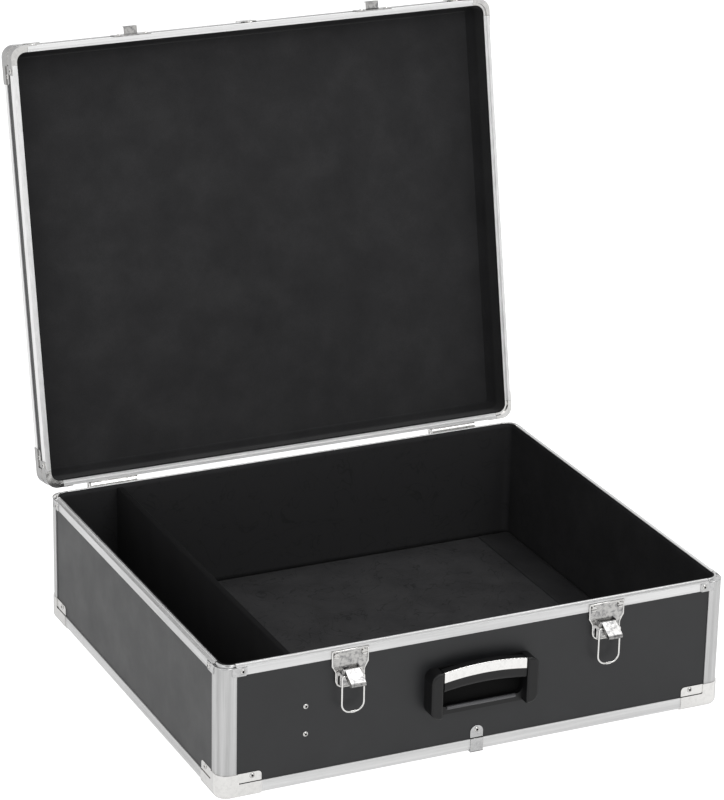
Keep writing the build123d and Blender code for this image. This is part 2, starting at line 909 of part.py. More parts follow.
with BuildPart() as handle_pins:
    for end in (-1, 1):
        place = end * (pocket_width / 2 + handle_pin_depth)
        with BuildSketch(profile_plane("front", place, handle_pin_out - wall, handle_pin_height)):
            Circle(handle_pin_diameter / 2)
        extrude(amount=end * (handle_pin_depth + handle_pin_reach))
write_part(handle_pins.part, "handle_pins")


def arch(drop, half):
    """Points of the grip's arched top line, lowered by drop: its two ends and its middle."""
    return (-half, grip_end_top - drop), (0, grip_end_top + grip_rise - drop), (half, grip_end_top - drop)


def arched_strip(half, top_drop, bottom_drop):
    """Face between two arches of the grip."""
    with BuildSketch() as strip:
        with BuildLine():
            top_left, top_middle, top_right = arch(top_drop, half)
            low_left, low_middle, low_right = arch(bottom_drop, half)
            ThreePointArc(top_left, top_middle, top_right)
            Line(top_right, low_right)
            ThreePointArc(low_right, low_middle, low_left)
            Line(low_left, top_left)
        make_face()
    return strip.sketch


grip_half = grip_width / 2
with BuildPart() as handle_grip:
    with BuildSketch(handle_face.offset(grip_back)):
        add(arched_strip(grip_half, 0, grip_end_top - grip_bottom))
    extrude(amount=grip_front - grip_back)
    long_edges = handle_grip.edges().filter_by(GeomType.CIRCLE)
    back_edges = long_edges.group_by(Axis.Y)[-1]
    fillet(back_edges, grip_edge)
    front_low = handle_grip.edges().filter_by(GeomType.CIRCLE).group_by(Axis.Y)[0].sort_by(Axis.Z)[0]
    fillet(front_low, grip_edge)
    with BuildSketch(handle_face.offset(grip_front)):
        add(arched_strip(grip_half, 0, band_height))
    extrude(amount=-band_sheet, mode=Mode.SUBTRACT)
    for end in (-1, 1):
        place = end * grip_half
        with BuildSketch(profile_plane("front", place, handle_pin_out - wall, handle_pin_height)):
            Circle(handle_pin_diameter / 2 + pin_clearance)
        extrude(amount=handle_pin_reach, both=True, mode=Mode.SUBTRACT)
write_part(handle_grip.part, "handle_grip")

with BuildPart() as handle_band:
    with BuildSketch(handle_face.offset(grip_front)):
        add(arched_strip(grip_half, 0, band_height))
    extrude(amount=-band_sheet)
    front_top = handle_band.edges().filter_by(GeomType.CIRCLE).group_by(Axis.Y)[0].sort_by(Axis.Z)[-1]
    fillet(front_top, band_sheet / 2)
write_part(handle_band.part, "handle_band")

# Hinges

knuckle_run = hinge_width - 2 * (hinge_leaf + hinge_knuckle_gap)
knuckle_pitch = knuckle_run / hinge_knuckles
knuckle_length = knuckle_pitch - hinge_knuckle_gap
knuckle_room = hinge_knuckle / 2 + hinge_knuckle_gap
hinge_centre = (hinge_axis_out, hinge_height)


def knuckle_places(first):
    """Middles of the knuckles of one leaf, which alternate with the other's."""
    middle = (hinge_knuckles - 1) / 2
    return [(index - middle) * knuckle_pitch for index in range(first, hinge_knuckles, 2)]


def hinge_leaf_part(along, first, leaf_sketch, clear_sketch, wing_sketch):
    """Leaf with its knuckles, the room for the other leaf's knuckles and a stop wing at each end."""
    with BuildPart() as leaf:
        with BuildSketch(profile_plane("rear", along)):
            add(leaf_sketch)
        extrude(amount=hinge_width / 2, both=True)
        for place in knuckle_places(1 - first):
            with BuildSketch(profile_plane("rear", along + place)):
                add(clear_sketch)
            extrude(amount=knuckle_pitch / 2, both=True, mode=Mode.SUBTRACT)
        for place in knuckle_places(first):
            with BuildSketch(profile_plane("rear", along + place)):
                with Locations(hinge_centre):
                    Circle(hinge_knuckle / 2)
            extrude(amount=knuckle_length / 2, both=True)
        with BuildSketch(profile_plane("rear", along)):
            with Locations(hinge_centre):
                Circle(hinge_pin_diameter / 2 + pin_clearance)
        extrude(amount=hinge_width, both=True, mode=Mode.SUBTRACT)
        for place in (-hinge_width / 2 + hinge_leaf / 2, hinge_width / 2 - hinge_leaf / 2):
            with BuildSketch(profile_plane("rear", along + place)):
                add(wing_sketch)
            extrude(amount=hinge_leaf / 2, both=True)
        for side in OUTWARDS:
            drill(hinge_rivet_seats(side, [mating_plane - drop for drop in base_leaf_rivets]))
            drill(hinge_rivet_seats(side, [lid_underside + lid_leaf_rivet]))
    return leaf.part


def leaf_section(direction, rim_height, length):
    """Leaf that lies on the rim rail and steps in to the board, above or below the hinge."""
    rim_edge = rim_height + mating_gap / 2 + joint_gap
    with BuildSketch() as leaf:
        with Locations((hinge_leaf / 2, hinge_height + direction * (rim_edge + hinge_leaf) / 2)):
            Rectangle(hinge_leaf, rim_edge + hinge_leaf)
        with Locations((hinge_leaf / 2 - wall, hinge_height + direction * (rim_edge + length) / 2)):
            Rectangle(hinge_leaf, length - rim_edge)
    return leaf.sketch


def knuckle_clearance():
    """Room cut from a leaf beside the other leaf's knuckle."""
    with BuildSketch() as room:
        with Locations((0, hinge_height)):
            Rectangle(2 * hinge_axis_out, 2 * knuckle_room)
    return room.sketch


def stop_wing(direction):
    """Wing of a leaf, whose edge meets the other wing's when the lid is open."""
    half_angle = radians((open_angle + stop_clearance) / 2)
    tip_out = hinge_axis_out + stop_reach * cos(half_angle)
    tip_height = hinge_height + direction * stop_reach * sin(half_angle)
    with BuildSketch() as wing:
        with BuildLine():
            Polyline(
                (0, hinge_height + direction * knuckle_room),
                hinge_centre,
                (tip_out, tip_height),
                (0, tip_height),
                close=True,
            )
        make_face()
        with Locations(hinge_centre):
            Circle(knuckle_room, mode=Mode.SUBTRACT)
    return wing.sketch


for name, along in HINGES.items():
    base_leaf = hinge_leaf_part(
        along,
        0,
        leaf_section(-1, base_rim_height, base_leaf_drop),
        knuckle_clearance(),
        stop_wing(-1),
    )
    lid_leaf = hinge_leaf_part(
        along,
        1,
        leaf_section(1, lid_rim_height, lid_leaf_rise),
        knuckle_clearance(),
        stop_wing(1),
    )
    write_part(base_leaf, f"hinge_base_leaf_{name}")
    write_part(swing_open(lid_leaf), f"hinge_lid_leaf_{name}")

with BuildPart() as hinge_pins:
    for along in HINGES.values():
        with BuildSketch(profile_plane("rear", along)):
            with Locations(hinge_centre):
                Circle(hinge_pin_diameter / 2)
        extrude(amount=knuckle_run / 2, both=True)
write_part(hinge_pins.part, "hinge_pins")

with BuildPart() as base_rivets:
    seats = [seat for side in OUTWARDS for seat in base_seats[side]] + divider_side_seats()
    for plane, length in seats:
        with Locations(plane):
            add(rivet(length))
write_part(base_rivets.part, "base_rivets")

# Lid: frame, boards and lining, modelled closed and then swung open

lid_section = corner_section(lid_leg, lid_radius)
lid_panel_bottom = groove_roof + wall + joint_gap
lid_panel_top = lid_top - slot_depth_start(lid_radius)
lid_ceiling = lid_top - frame_width

with BuildPart() as lid_edge_rails:
    for side in OUTWARDS:
        add(rail(lid_section, side, end_plane(side, lid_top, downwards=True)))
write_part(swing_open(lid_edge_rails.part), "lid_edge_rails")

with BuildPart() as lid_rim_rails:
    for side in OUTWARDS:
        add(rail(lid_rim_section(), side, end_plane(side, 0), lid_seats[side]))
write_part(swing_open(lid_rim_rails.part), "lid_rim_rails")

for side in OUTWARDS:
    sheet = panel(side, lid_panel_bottom, lid_panel_top, lid_seats[side])
    write_part(swing_open(sheet), f"lid_panel_{side}")

with BuildPart() as lid_top_panel:
    with BuildSketch(Plane.XY.offset(lid_top - wall - board)):
        inset = slot_depth_start(lid_radius)
        Rectangle(case_width - 2 * inset, case_depth - 2 * inset)
    extrude(amount=board)
write_part(swing_open(lid_top_panel.part), "lid_top_panel")

with BuildPart() as lid_lining:
    with BuildSketch(Plane.XY.offset(groove_roof + joint_gap)):
        RectangleRounded(case_width - 2 * lining_outer, case_depth - 2 * lining_outer, lining_radius)
    extrude(amount=lid_ceiling - groove_roof - joint_gap)
    with BuildSketch(Plane.XY.offset(groove_roof + joint_gap)):
        RectangleRounded(
            case_width - 2 * lining_inner, case_depth - 2 * lining_inner, lining_radius - lining
        )
    extrude(amount=lid_ceiling - lining - groove_roof - joint_gap, mode=Mode.SUBTRACT)
write_part(swing_open(lid_lining.part), "lid_lining")

lid_post_bottom = groove_roof + wall
lid_post = mirror(corner_post(lid_top - lid_post_bottom, lid_radius), about=Plane.XY)
lid_cap = mirror(
    corner_cap(
        lid_cap_reach,
        lid_cap_height,
        lid_radius,
        lid_leg,
        lid_cap_rivet_along,
        lid_cap_rivet_up,
    ),
    about=Plane.XY,
)
with BuildPart() as lid_corner_posts:
    for corner in CORNERS:
        add(at_corner(Pos(0, 0, lid_top) * lid_post, corner))
write_part(swing_open(lid_corner_posts.part), "lid_corner_posts")

with BuildPart() as lid_corner_caps:
    for corner in CORNERS:
        add(at_corner(Pos(0, 0, lid_top) * lid_cap, corner))
write_part(swing_open(lid_corner_caps.part), "lid_corner_caps")

groove = frame_width - tongue_width - mating_gap
groove_outside = (groove, lining_radius + frame_width - groove)
step_outside = (groove - wall, lining_radius + frame_width - groove + wall)
lid_skirt_height = lid_rim_height + bracket_skirt_drop
with BuildPart() as lid_rim_corners:
    add(corner_bands(lid_underside, wall, skirt_outside, groove_outside, post_leg))
    add(
        corner_bands(
            lid_underside,
            groove_roof + wall - lid_underside,
            step_outside,
            groove_outside,
            post_leg,
        )
    )
    add(corner_bands(groove_roof, wall, step_outside, frame_inside, post_leg))
    add(corner_bands(lid_underside, lid_skirt_height, skirt_outside, post_outside, bracket_reach))
    for side in OUTWARDS:
        drill(bracket_rivet_seats(side, lid_bracket_rivet_height))
write_part(swing_open(lid_rim_corners.part), "lid_rim_corners")

with BuildPart() as lid_clips:
    for side in ("front", "rear"):
        seats = clip_rivet_seats(side, lid_clip_rivet_height)
        plane = end_plane(side, lid_top, downwards=True)
        add(clip(side, plane, clip_lid_height, lid_leg, seats))
write_part(swing_open(lid_clips.part), "lid_clips")

with BuildPart() as lid_rivets:
    for side in OUTWARDS:
        for plane, length in lid_seats[side]:
            with Locations(plane):
                add(rivet(length))
write_part(swing_open(lid_rivets.part), "lid_rivets")
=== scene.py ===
"""A low black flight case with an aluminium frame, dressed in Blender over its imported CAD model."""

import logging
import math
from dataclasses import dataclass
from enum import Enum

import bmesh
import bpy
from bmesh.types import BMEdge, BMesh, BMVert
from bpy.types import Material, Node, NodeSocket, NodeTree, Object
from mathutils import Matrix, Vector, noise


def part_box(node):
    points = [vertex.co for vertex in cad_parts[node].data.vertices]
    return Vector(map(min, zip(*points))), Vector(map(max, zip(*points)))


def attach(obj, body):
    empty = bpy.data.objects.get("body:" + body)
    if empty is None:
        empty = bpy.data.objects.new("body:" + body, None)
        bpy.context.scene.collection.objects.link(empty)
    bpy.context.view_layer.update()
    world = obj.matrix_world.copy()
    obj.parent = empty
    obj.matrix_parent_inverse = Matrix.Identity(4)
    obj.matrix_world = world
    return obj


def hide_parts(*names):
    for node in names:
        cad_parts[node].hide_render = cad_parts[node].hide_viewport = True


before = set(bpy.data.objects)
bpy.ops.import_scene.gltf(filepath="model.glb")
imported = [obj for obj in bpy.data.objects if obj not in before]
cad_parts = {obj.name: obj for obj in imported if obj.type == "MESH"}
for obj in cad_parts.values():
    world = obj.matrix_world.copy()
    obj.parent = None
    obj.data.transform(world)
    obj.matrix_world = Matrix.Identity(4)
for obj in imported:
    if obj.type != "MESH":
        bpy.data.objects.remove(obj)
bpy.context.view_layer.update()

log = logging.getLogger("flight_case")

MM = 0.001

# Sizes of the case that the felt and the small fittings follow, in metres.
CASE_WIDTH = 0.560
CASE_DEPTH = 0.474
FRAME_WIDTH = 0.006
POST_LEG = 0.0185
OPEN_ANGLE = math.radians(101.0)
HINGE_AXIS = Vector((0.0, CASE_DEPTH / 2 + 0.004, 0.14115))
LID_SWING = (
    Matrix.Translation(HINGE_AXIS)
    @ Matrix.Rotation(-OPEN_ANGLE, 4, "X")
    @ Matrix.Translation(-HINGE_AXIS)
)

# Stands a plane up, facing the front, its y upwards.
STAND = Matrix.Rotation(math.pi / 2, 4, "X")

# A cove rises this share of its reach, and its slope is longer than its rise by the second share.
COVE_RISE = 0.8
COVE_EXTRA = 0.48

# Coordinates along an extrusion's run are multiplied by this, which draws its die lines out.
LINE_STRETCH = 0.02

# One node of a table: its name there, its kind, the output that it gives, its settings, the
# earlier names that feed its inputs and, on a colour ramp, its stops.
Row = tuple

# A corner of an outline in its own plane.
Corner = tuple[float, float]


class Slot(Enum):
    """The record's material slots."""

    FELT = "lining_felt"
    STEEL = "plated_steel"
    PLASTIC = "handle_plastic"


class Run(Enum):
    """The direction in which an extrusion was drawn through its die."""

    ACROSS = "across"
    DEEP = "deep"
    UPRIGHT = "upright"
    LID_FRAME = "lid_frame"


def linear(code: str) -> tuple[float, float, float, float]:
    """Turns an sRGB hex colour to a linear one.

    Args:
        code: Six hex digits after a hash sign.

    Returns:
        Linear red, green and blue, and an alpha of one.
    """
    parts = [int(code[i : i + 2], 16) / 255 for i in (1, 3, 5)]
    red, green, blue = (c / 12.92 if c <= 0.04045 else ((c + 0.055) / 1.055) ** 2.4 for c in parts)
    return red, green, blue, 1.0


def per_metre(millimetres: float) -> float:
    """Scale of a texture whose features are this far apart."""
    return 1000.0 / millimetres


def add_node(
    tree: NodeTree,
    kind: str,
    settings: dict | None = None,
    links: dict | None = None,
    stops: list[tuple[float, str]] | None = None,
) -> Node:
    """Adds one shader node with its settings and its incoming links.

    Args:
        tree: The node tree of a material or of the world.
        kind: Blender's name for the node, without ShaderNode.
        settings: Values by the name of a property or of an input socket.
        links: Output sockets by the name or the number of the input that they feed.
        stops: Places on a colour ramp from 0 to 1, each with its hex colour.

    Returns:
        The new node.
    """
    node = tree.nodes.new(f"ShaderNode{kind}")
    for key, value in (settings or {}).items():
        if isinstance(key, int) or key in node.inputs:
            node.inputs[key].default_value = value
        else:
            setattr(node, key, value)
    for key, socket in (links or {}).items():
        tree.links.new(socket, node.inputs[key])
    if stops:
        band = node.color_ramp.elements
        while len(band) < len(stops):
            band.new(0.5)
        for element, (place, code) in zip(band, stops):
            element.position, element.color = place, linear(code)
    return node


def weave(tree: NodeTree, rows: list[Row]) -> dict[str, NodeSocket]:
    """Adds nodes from a table in which earlier rows feed later ones.

    Args:
        tree: The node tree.
        rows: The table.

    Returns:
        The output socket of each row, by its name.
    """
    made: dict[str, NodeSocket] = {}
    for name, kind, output, settings, links, *stops in rows:
        fed = {key: made[source] for key, source in links.items()}
        made[name] = add_node(tree, kind, settings, fed, *stops).outputs[output]
    return made


def surface(name: str, constants: dict, rows: list[Row], feeds: dict[str, str]) -> Material:
    """Builds a material of one surface shader over a table of nodes.

    Args:
        name: The material's name.
        constants: Values of the shader's inputs that don't vary.
        rows: The table.
        feeds: Names of rows by the shader's inputs that they feed.

    Returns:
        The material.
    """
    material = bpy.data.materials.new(name)
    material.use_nodes = True
    tree = material.node_tree
    tree.nodes.clear()
    made = weave(tree, rows)
    links = {key: made[source] for key, source in feeds.items()}
    shader = add_node(tree, "BsdfPrincipled", constants, links)
    add_node(tree, "OutputMaterial", links={"Surface": shader.outputs["BSDF"]})
    return material


PLACE: Row = ("place", "TexCoord", "Object", {}, {})
FEEDS = {"Base Color": "colour", "Roughness": "rough", "Normal": "bump"}


@dataclass(frozen=True)
class SatinAnodisedAluminium:
    """Extruded and satin anodised aluminium: pale, soft gloss, with fine die lines."""

    run: Run
    tone: str = "#E6E6E6"
    shade: str = "#CDCDCD"
    roughness: float = 0.4

    def along(self) -> list[Row]:
        """Stretches the pattern along the run, on the lid's frame also round its corners.

        Returns:
            Rows that do so, the last of them named along.
        """
        squeeze = {Run.DEEP: (1.0, LINE_STRETCH, 1.0), Run.UPRIGHT: (1.0, 1.0, LINE_STRETCH)}
        run = squeeze.get(self.run, (LINE_STRETCH, 1.0, 1.0))
        rows = [("along", "VectorMath", "Vector", {"operation": "MULTIPLY", 1: run}, {0: "place"})]
        if self.run is not Run.LID_FRAME:
            return rows
        level = {"vector_type": "POINT", "Rotation": (math.pi / 2 - OPEN_ANGLE, 0.0, 0.0)}
        upright = {"operation": "MULTIPLY", 1: squeeze[Run.UPRIGHT]}
        side = {"operation": "GREATER_THAN", 1: CASE_WIDTH / 2 - POST_LEG}
        choice = {"Factor": "on_side", 4: "along", 5: "side_run"}
        return [
            ("place", "Mapping", "Vector", level, {"Vector": "place"}),
            *rows,
            ("side_run", "VectorMath", "Vector", upright, {0: "place"}),
            ("across", "SeparateXYZ", "X", {}, {"Vector": "place"}),
            ("far_out", "Math", "Value", {"operation": "ABSOLUTE"}, {0: "across"}),
            ("on_side", "Math", "Value", side, {0: "far_out"}),
            ("along", "Mix", 1, {"data_type": "VECTOR"}, choice),
        ]

    def build(self) -> Material:
        """Builds the material.

        Returns:
            The material, its lines following the run of the extrusion.
        """
        # Die lines are about 0.3 mm apart, drawn 0.9 mm apart so that they show.
        lines = {"Scale": per_metre(0.9), "Detail": 3.0, "Roughness": 0.6}
        # Faint broad streaks, a few millimetres wide, where the die pressed harder; they also stand
        # for the streaky reflections of the room, so they are partly painted reflection.
        bands = {"Scale": per_metre(5.0), "Detail": 1.0}
        # Handling leaves cloudy patches some centimetres across.
        clouds = {"Scale": per_metre(28.0), "Detail": 4.0, "Roughness": 0.6}
        low, high = self.roughness - 0.06, self.roughness + 0.1
        rough = {"From Min": 0.3, "From Max": 0.7, "To Min": low, "To Max": high}
        added = {"operation": "MULTIPLY_ADD", 1: 0.55}
        halved = {"operation": "MULTIPLY", 1: 0.65}
        relief = {"Strength": 0.25, "Distance": 0.00008}
        stops = [(0.3, self.shade), (0.7, self.tone)]
        rows = [
            PLACE,
            *self.along(),
            ("lines", "TexNoise", "Fac", lines, {"Vector": "along"}),
            ("bands", "TexNoise", "Fac", bands, {"Vector": "along"}),
            ("clouds", "TexNoise", "Fac", clouds, {"Vector": "place"}),
            ("mixed", "Math", "Value", added, {0: "lines", 2: "bands"}),
            ("halved", "Math", "Value", halved, {0: "mixed"}),
            ("colour", "ValToRGB", "Color", {}, {"Fac": "halved"}, stops),
            ("rough", "MapRange", "Result", rough, {"Value": "clouds"}),
            ("bump", "Bump", "Normal", relief, {"Height": "lines"}),
        ]
        # The etched oxide layer scatters a part of the light as a pale paint would.
        name = f"satin_anodised_aluminium_{self.run.value}"
        return surface(name, {"Metallic": 0.75}, rows, FEEDS)


@dataclass(frozen=True)
class PressedNickelPlate:
    """Pressed and nickel-plated steel: bright grey, faintly wavy from the press, rubbed."""

    name: str = "pressed_nickel_plate"
    tone: str = "#E6E5E3"
    shade: str = "#DDDCDA"
    roughness: float = 0.07
    wave: float = 0.45
    # Colour of the painted reflection of the room's dark side, and how far the sheet must turn from
    # the eye before it starts.
    turned: str = "#57575A"
    painted_reflection_start: float = 0.62

    def build(self) -> Material:
        """Builds the material.

        Returns:
            The material.
        """
        # The press leaves a shallow wave about 9 mm long.
        wave = {"Scale": per_metre(9.0), "Detail": 0.5, "Roughness": 0.4}
        # Rub marks are cloudy, a few millimetres wide. Where a plate's second colour is dark, as on
        # the latch plates, these clouds are painted reflection of the dark surroundings.
        rubbed = {"Scale": per_metre(4.5), "Detail": 3.0, "Roughness": 0.5, "Distortion": 0.6}
        # Where the sheet turns from the eye its colour is darkened towards the turned colour: painted
        # reflection of the dark side of the room.
        away = {"From Min": self.painted_reflection_start, "From Max": self.painted_reflection_start + 0.3}
        painted_reflection_tint = {"data_type": "RGBA", 7: linear(self.turned)}
        low, high = self.roughness, self.roughness + 0.05
        rough = {"From Min": 0.35, "From Max": 0.75, "To Min": low, "To Max": high}
        bump = {"Strength": self.wave, "Distance": 0.0004}
        stops = [(0.28, self.shade), (0.55, self.tone)]
        rows = [
            PLACE,
            ("wave", "TexNoise", "Fac", wave, {"Vector": "place"}),
            ("rubbed", "TexNoise", "Fac", rubbed, {"Vector": "place"}),
            ("plain", "ValToRGB", "Color", {}, {"Fac": "rubbed"}, stops),
            ("facing", "LayerWeight", "Facing", {"Blend": 0.5}, {}),
            ("away", "MapRange", "Result", away, {"Value": "facing"}),
            ("colour", "Mix", 2, painted_reflection_tint, {"Factor": "away", 6: "plain"}),
            ("rough", "MapRange", "Result", rough, {"Value": "rubbed"}),
            ("bump", "Bump", "Normal", bump, {"Height": "wave"}),
        ]
        return surface(self.name, {"Metallic": 1.0}, rows, FEEDS)


@dataclass(frozen=True)
class PlasticLaminate:
    """Board faced with black plastic film: satin, with a pebbled roll grain and faint scuffs."""

    tone: str = "#1B1C1E"
    shade: str = "#141517"
    scuff: str = "#242527"

    def build(self) -> Material:
        """Builds the material.

        Returns:
            The material.
        """
        # The roll grain is about 0.4 mm, drawn at 0.9 mm so that it shows.
        grain = {"feature": "SMOOTH_F1", "Scale": per_metre(0.9), "Smoothness": 0.6}
        # Scuffs and dust make patches some centimetres across.
        patches = {"Scale": per_metre(45.0), "Detail": 6.0, "Roughness": 0.62}
        rough = {"From Min": 0.3, "From Max": 0.7, "To Min": 0.38, "To Max": 0.5}
        stops = [(0.3, self.shade), (0.55, self.tone), (0.8, self.scuff)]
        rows = [
            PLACE,
            ("grain", "TexVoronoi", "Distance", grain, {"Vector": "place"}),
            ("patches", "TexNoise", "Fac", patches, {"Vector": "place"}),
            ("colour", "ValToRGB", "Color", {}, {"Fac": "patches"}, stops),
            ("rough", "MapRange", "Result", rough, {"Value": "patches"}),
            ("bump", "Bump", "Normal", {"Strength": 0.3, "Distance": 0.00012}, {"Height": "grain"}),
        ]
        return surface("black_plastic_laminate", {}, rows, FEEDS)


@dataclass(frozen=True)
class ShortPileFelt:
    """Needled polyester felt, glued down: dead black, brushed into pale patches."""

    name: str = "short_pile_felt"
    deep: str = "#2A2A2B"
    tone: str = "#303031"
    brushed: str = "#373738"
    sheen: float = 0.02
    creased: float = 0.0
    # Faces turned towards this direction take the next colour: paler for painted light, darker for
    # painted shade.
    nap: tuple[float, float, float] = (0.0, 0.0, 0.0)
    napped: str = "#303031"
    # Colour of the painted shade along the creases.
    crease: str = "#0C0C0D"

    def build(self) -> Material:
        """Builds the material.

        Returns:
            The material.
        """
        constants = {
            "Roughness": 1.0,
            "Specular IOR Level": 0.08,
            "Sheen Weight": self.sheen,
            "Sheen Roughness": 0.5,
        }
        # Fibres stand about 0.5 mm apart, drawn at 1.7 mm so that they show.
        fibres = {"Scale": per_metre(1.7), "Detail": 5.0, "Roughness": 0.75, "Distortion": 0.8}
        # Glue and hands leave brushed patches 20 to 60 mm across.
        patches = {"Scale": per_metre(42.0), "Detail": 6.0, "Roughness": 0.58, "Distortion": 0.1}
        mixed = {"operation": "MULTIPLY_ADD", 1: 0.6}
        evened = {"operation": "MULTIPLY", 1: 0.625}
        stops = [(0.3, self.deep), (0.5, self.tone), (0.7, self.brushed)]
        # Faces turned towards a given direction take another colour: painted light where it is paler,
        # painted shade where it is darker.
        turned = {"operation": "DOT_PRODUCT", 1: self.nap}
        lying = {"From Min": 0.3, "From Max": 0.9}
        # Thin creases wander over the glued sheet, some centimetres apart, and the felt is painted
        # darker along them: painted shade in the folds.
        wander = {"Scale": per_metre(46.0), "Detail": 2.5, "Roughness": 0.6, "Distortion": 1.4}
        thin = {"From Min": 0.0, "From Max": 0.012, "To Min": self.creased, "To Max": 0.0}
        relief = {"Strength": 0.55, "Distance": 0.0004}
        napped = {"data_type": "RGBA", 7: linear(self.napped)}
        painted_crease_tint = {"data_type": "RGBA", 7: linear(self.crease)}
        rows = [
            PLACE,
            ("normal", "TexCoord", "Normal", {}, {}),
            ("fibres", "TexNoise", "Fac", fibres, {"Vector": "place"}),
            ("patches", "TexNoise", "Fac", patches, {"Vector": "place"}),
            ("mixed", "Math", "Value", mixed, {0: "fibres", 2: "patches"}),
            ("evened", "Math", "Value", evened, {0: "mixed"}),
            ("plain", "ValToRGB", "Color", {}, {"Fac": "evened"}, stops),
            ("turned", "VectorMath", "Value", turned, {0: "normal"}),
            ("lying", "MapRange", "Result", lying, {"Value": "turned"}),
            ("brushed", "Mix", 2, napped, {"Factor": "lying", 6: "plain"}),
            ("wander", "TexNoise", "Fac", wander, {"Vector": "place"}),
            ("offset", "Math", "Value", {"operation": "SUBTRACT", 1: 0.5}, {0: "wander"}),
            ("apart", "Math", "Value", {"operation": "ABSOLUTE"}, {0: "offset"}),
            ("crease", "MapRange", "Result", thin, {"Value": "apart"}),
            ("colour", "Mix", 2, painted_crease_tint, {"Factor": "crease", 6: "brushed"}),
            ("bump", "Bump", "Normal", relief, {"Height": "fibres"}),
        ]
        return surface(self.name, constants, rows, {"Base Color": "colour", "Normal": "bump"})


@dataclass(frozen=True)
class GrainedMoulding:
    """Injection-moulded black plastic from a spark-eroded mould: fine grain, low sheen."""

    name: str = "grained_black_moulding"
    tone: str = "#101011"
    shade: str = "#0A0A0B"
    roughness: float = 0.35

    def build(self) -> Material:
        """Builds the material.

        Returns:
            The material.
        """
        # Spark erosion leaves pits of about 0.2 mm, drawn at 0.7 mm so that they show.
        grain = {"Scale": per_metre(0.7), "Detail": 3.0, "Roughness": 0.7}
        low, high = self.roughness, self.roughness + 0.1
        rough = {"From Min": 0.3, "From Max": 0.7, "To Min": low, "To Max": high}
        stops = [(0.3, self.shade), (0.7, self.tone)]
        rows = [
            PLACE,
            ("grain", "TexNoise", "Fac", grain, {"Vector": "place"}),
            ("colour", "ValToRGB", "Color", {}, {"Fac": "grain"}, stops),
            ("rough", "MapRange", "Result", rough, {"Value": "grain"}),
            ("bump", "Bump", "Normal", {"Strength": 0.25, "Distance": 0.0001}, {"Height": "grain"}),
        ]
        return surface(self.name, {"Specular IOR Level": 0.35}, rows, FEEDS)


@dataclass(frozen=True)
class MattPaint:
    """Black powder paint on steel: dull, with a slight orange peel. Also laid into hollows as painted
    shade.
    """

    tone: str = "#0B0B0B"
    shade: str = "#070707"

    def build(self) -> Material:
        """Builds the material.

        Returns:
            The material.
        """
        # Orange peel in powder paint is about 1.5 mm long.
        peel = {"Scale": per_metre(1.5), "Detail": 2.0}
        stops = [(0.3, self.shade), (0.7, self.tone)]
        rows = [
            PLACE,
            ("peel", "TexNoise", "Fac", peel, {"Vector": "place"}),
            ("colour", "ValToRGB", "Color", {}, {"Fac": "peel"}, stops),
            ("bump", "Bump", "Normal", {"Strength": 0.3, "Distance": 0.0002}, {"Height": "peel"}),
        ]
        constants = {"Roughness": 0.75, "Specular IOR Level": 0.12}
        feeds = {"Base Color": "colour", "Normal": "bump"}
        return surface("matt_black_paint_and_painted_shade", constants, rows, feeds)


def merge(bm: BMesh, one: BMesh, place: Matrix) -> None:
    """Adds a mesh to another one and frees it.

    Args:
        bm: The mesh that it is added to.
        one: The added mesh.
        place: Where it goes.
    """
    bmesh.ops.transform(one, matrix=place, verts=one.verts)
    mesh = bpy.data.meshes.new("added")
    one.to_mesh(mesh)
    one.free()
    bm.from_mesh(mesh)
    bpy.data.meshes.remove(mesh)


def round_edges(bm: BMesh, edges: list[BMEdge], width: float, segments: int) -> None:
    """Rounds edges of a mesh.

    Args:
        bm: The mesh.
        edges: The edges.
        width: Width of the rounding on each side of an edge.
        segments: Flats across it.
    """
    bmesh.ops.bevel(
        bm,
        geom=edges,
        offset=width,
        offset_type="OFFSET",
        segments=segments,
        profile=0.5,
        affect="EDGES",
        material=-1,
    )


def finish_piece(bm: BMesh, name: str, material: Material, body: str) -> Object:
    """Makes an object of a finished mesh and lets it ride on its body.

    Args:
        bm: The mesh, in the row frame. It is freed.
        name: The piece's name.
        material: Its finish.
        body: The body that it rides on.

    Returns:
        The object.
    """
    mesh = bpy.data.meshes.new(name)
    bm.to_mesh(mesh)
    bm.free()
    mesh.materials.append(material)
    for polygon in mesh.polygons:
        polygon.use_smooth = True
    piece = bpy.data.objects.new(name, mesh)
    bpy.context.scene.collection.objects.link(piece)
    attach(piece, body)
    log.info("%s: %d faces, rides on %s", name, len(mesh.polygons), body)
    return piece


def lay_felt(bm: BMesh, name: str, material: Material, body: str, thickness: float) -> Object:
    """Takes a sheet from the closed case to its place and thickens it behind its visible face.

    Args:
        bm: The sheet. It is freed.
        name: Its name.
        material: Its felt.
        body: The body that it rides on.
        thickness: Its thickness.

    Returns:
        The object.
    """
    if body == "lid":
        bmesh.ops.transform(bm, matrix=LID_SWING, verts=bm.verts)
    piece = finish_piece(bm, name, material, body)
    solid = piece.modifiers.new("thickness", "SOLIDIFY")
    solid.thickness = thickness
    solid.offset = -1.0
    return piece


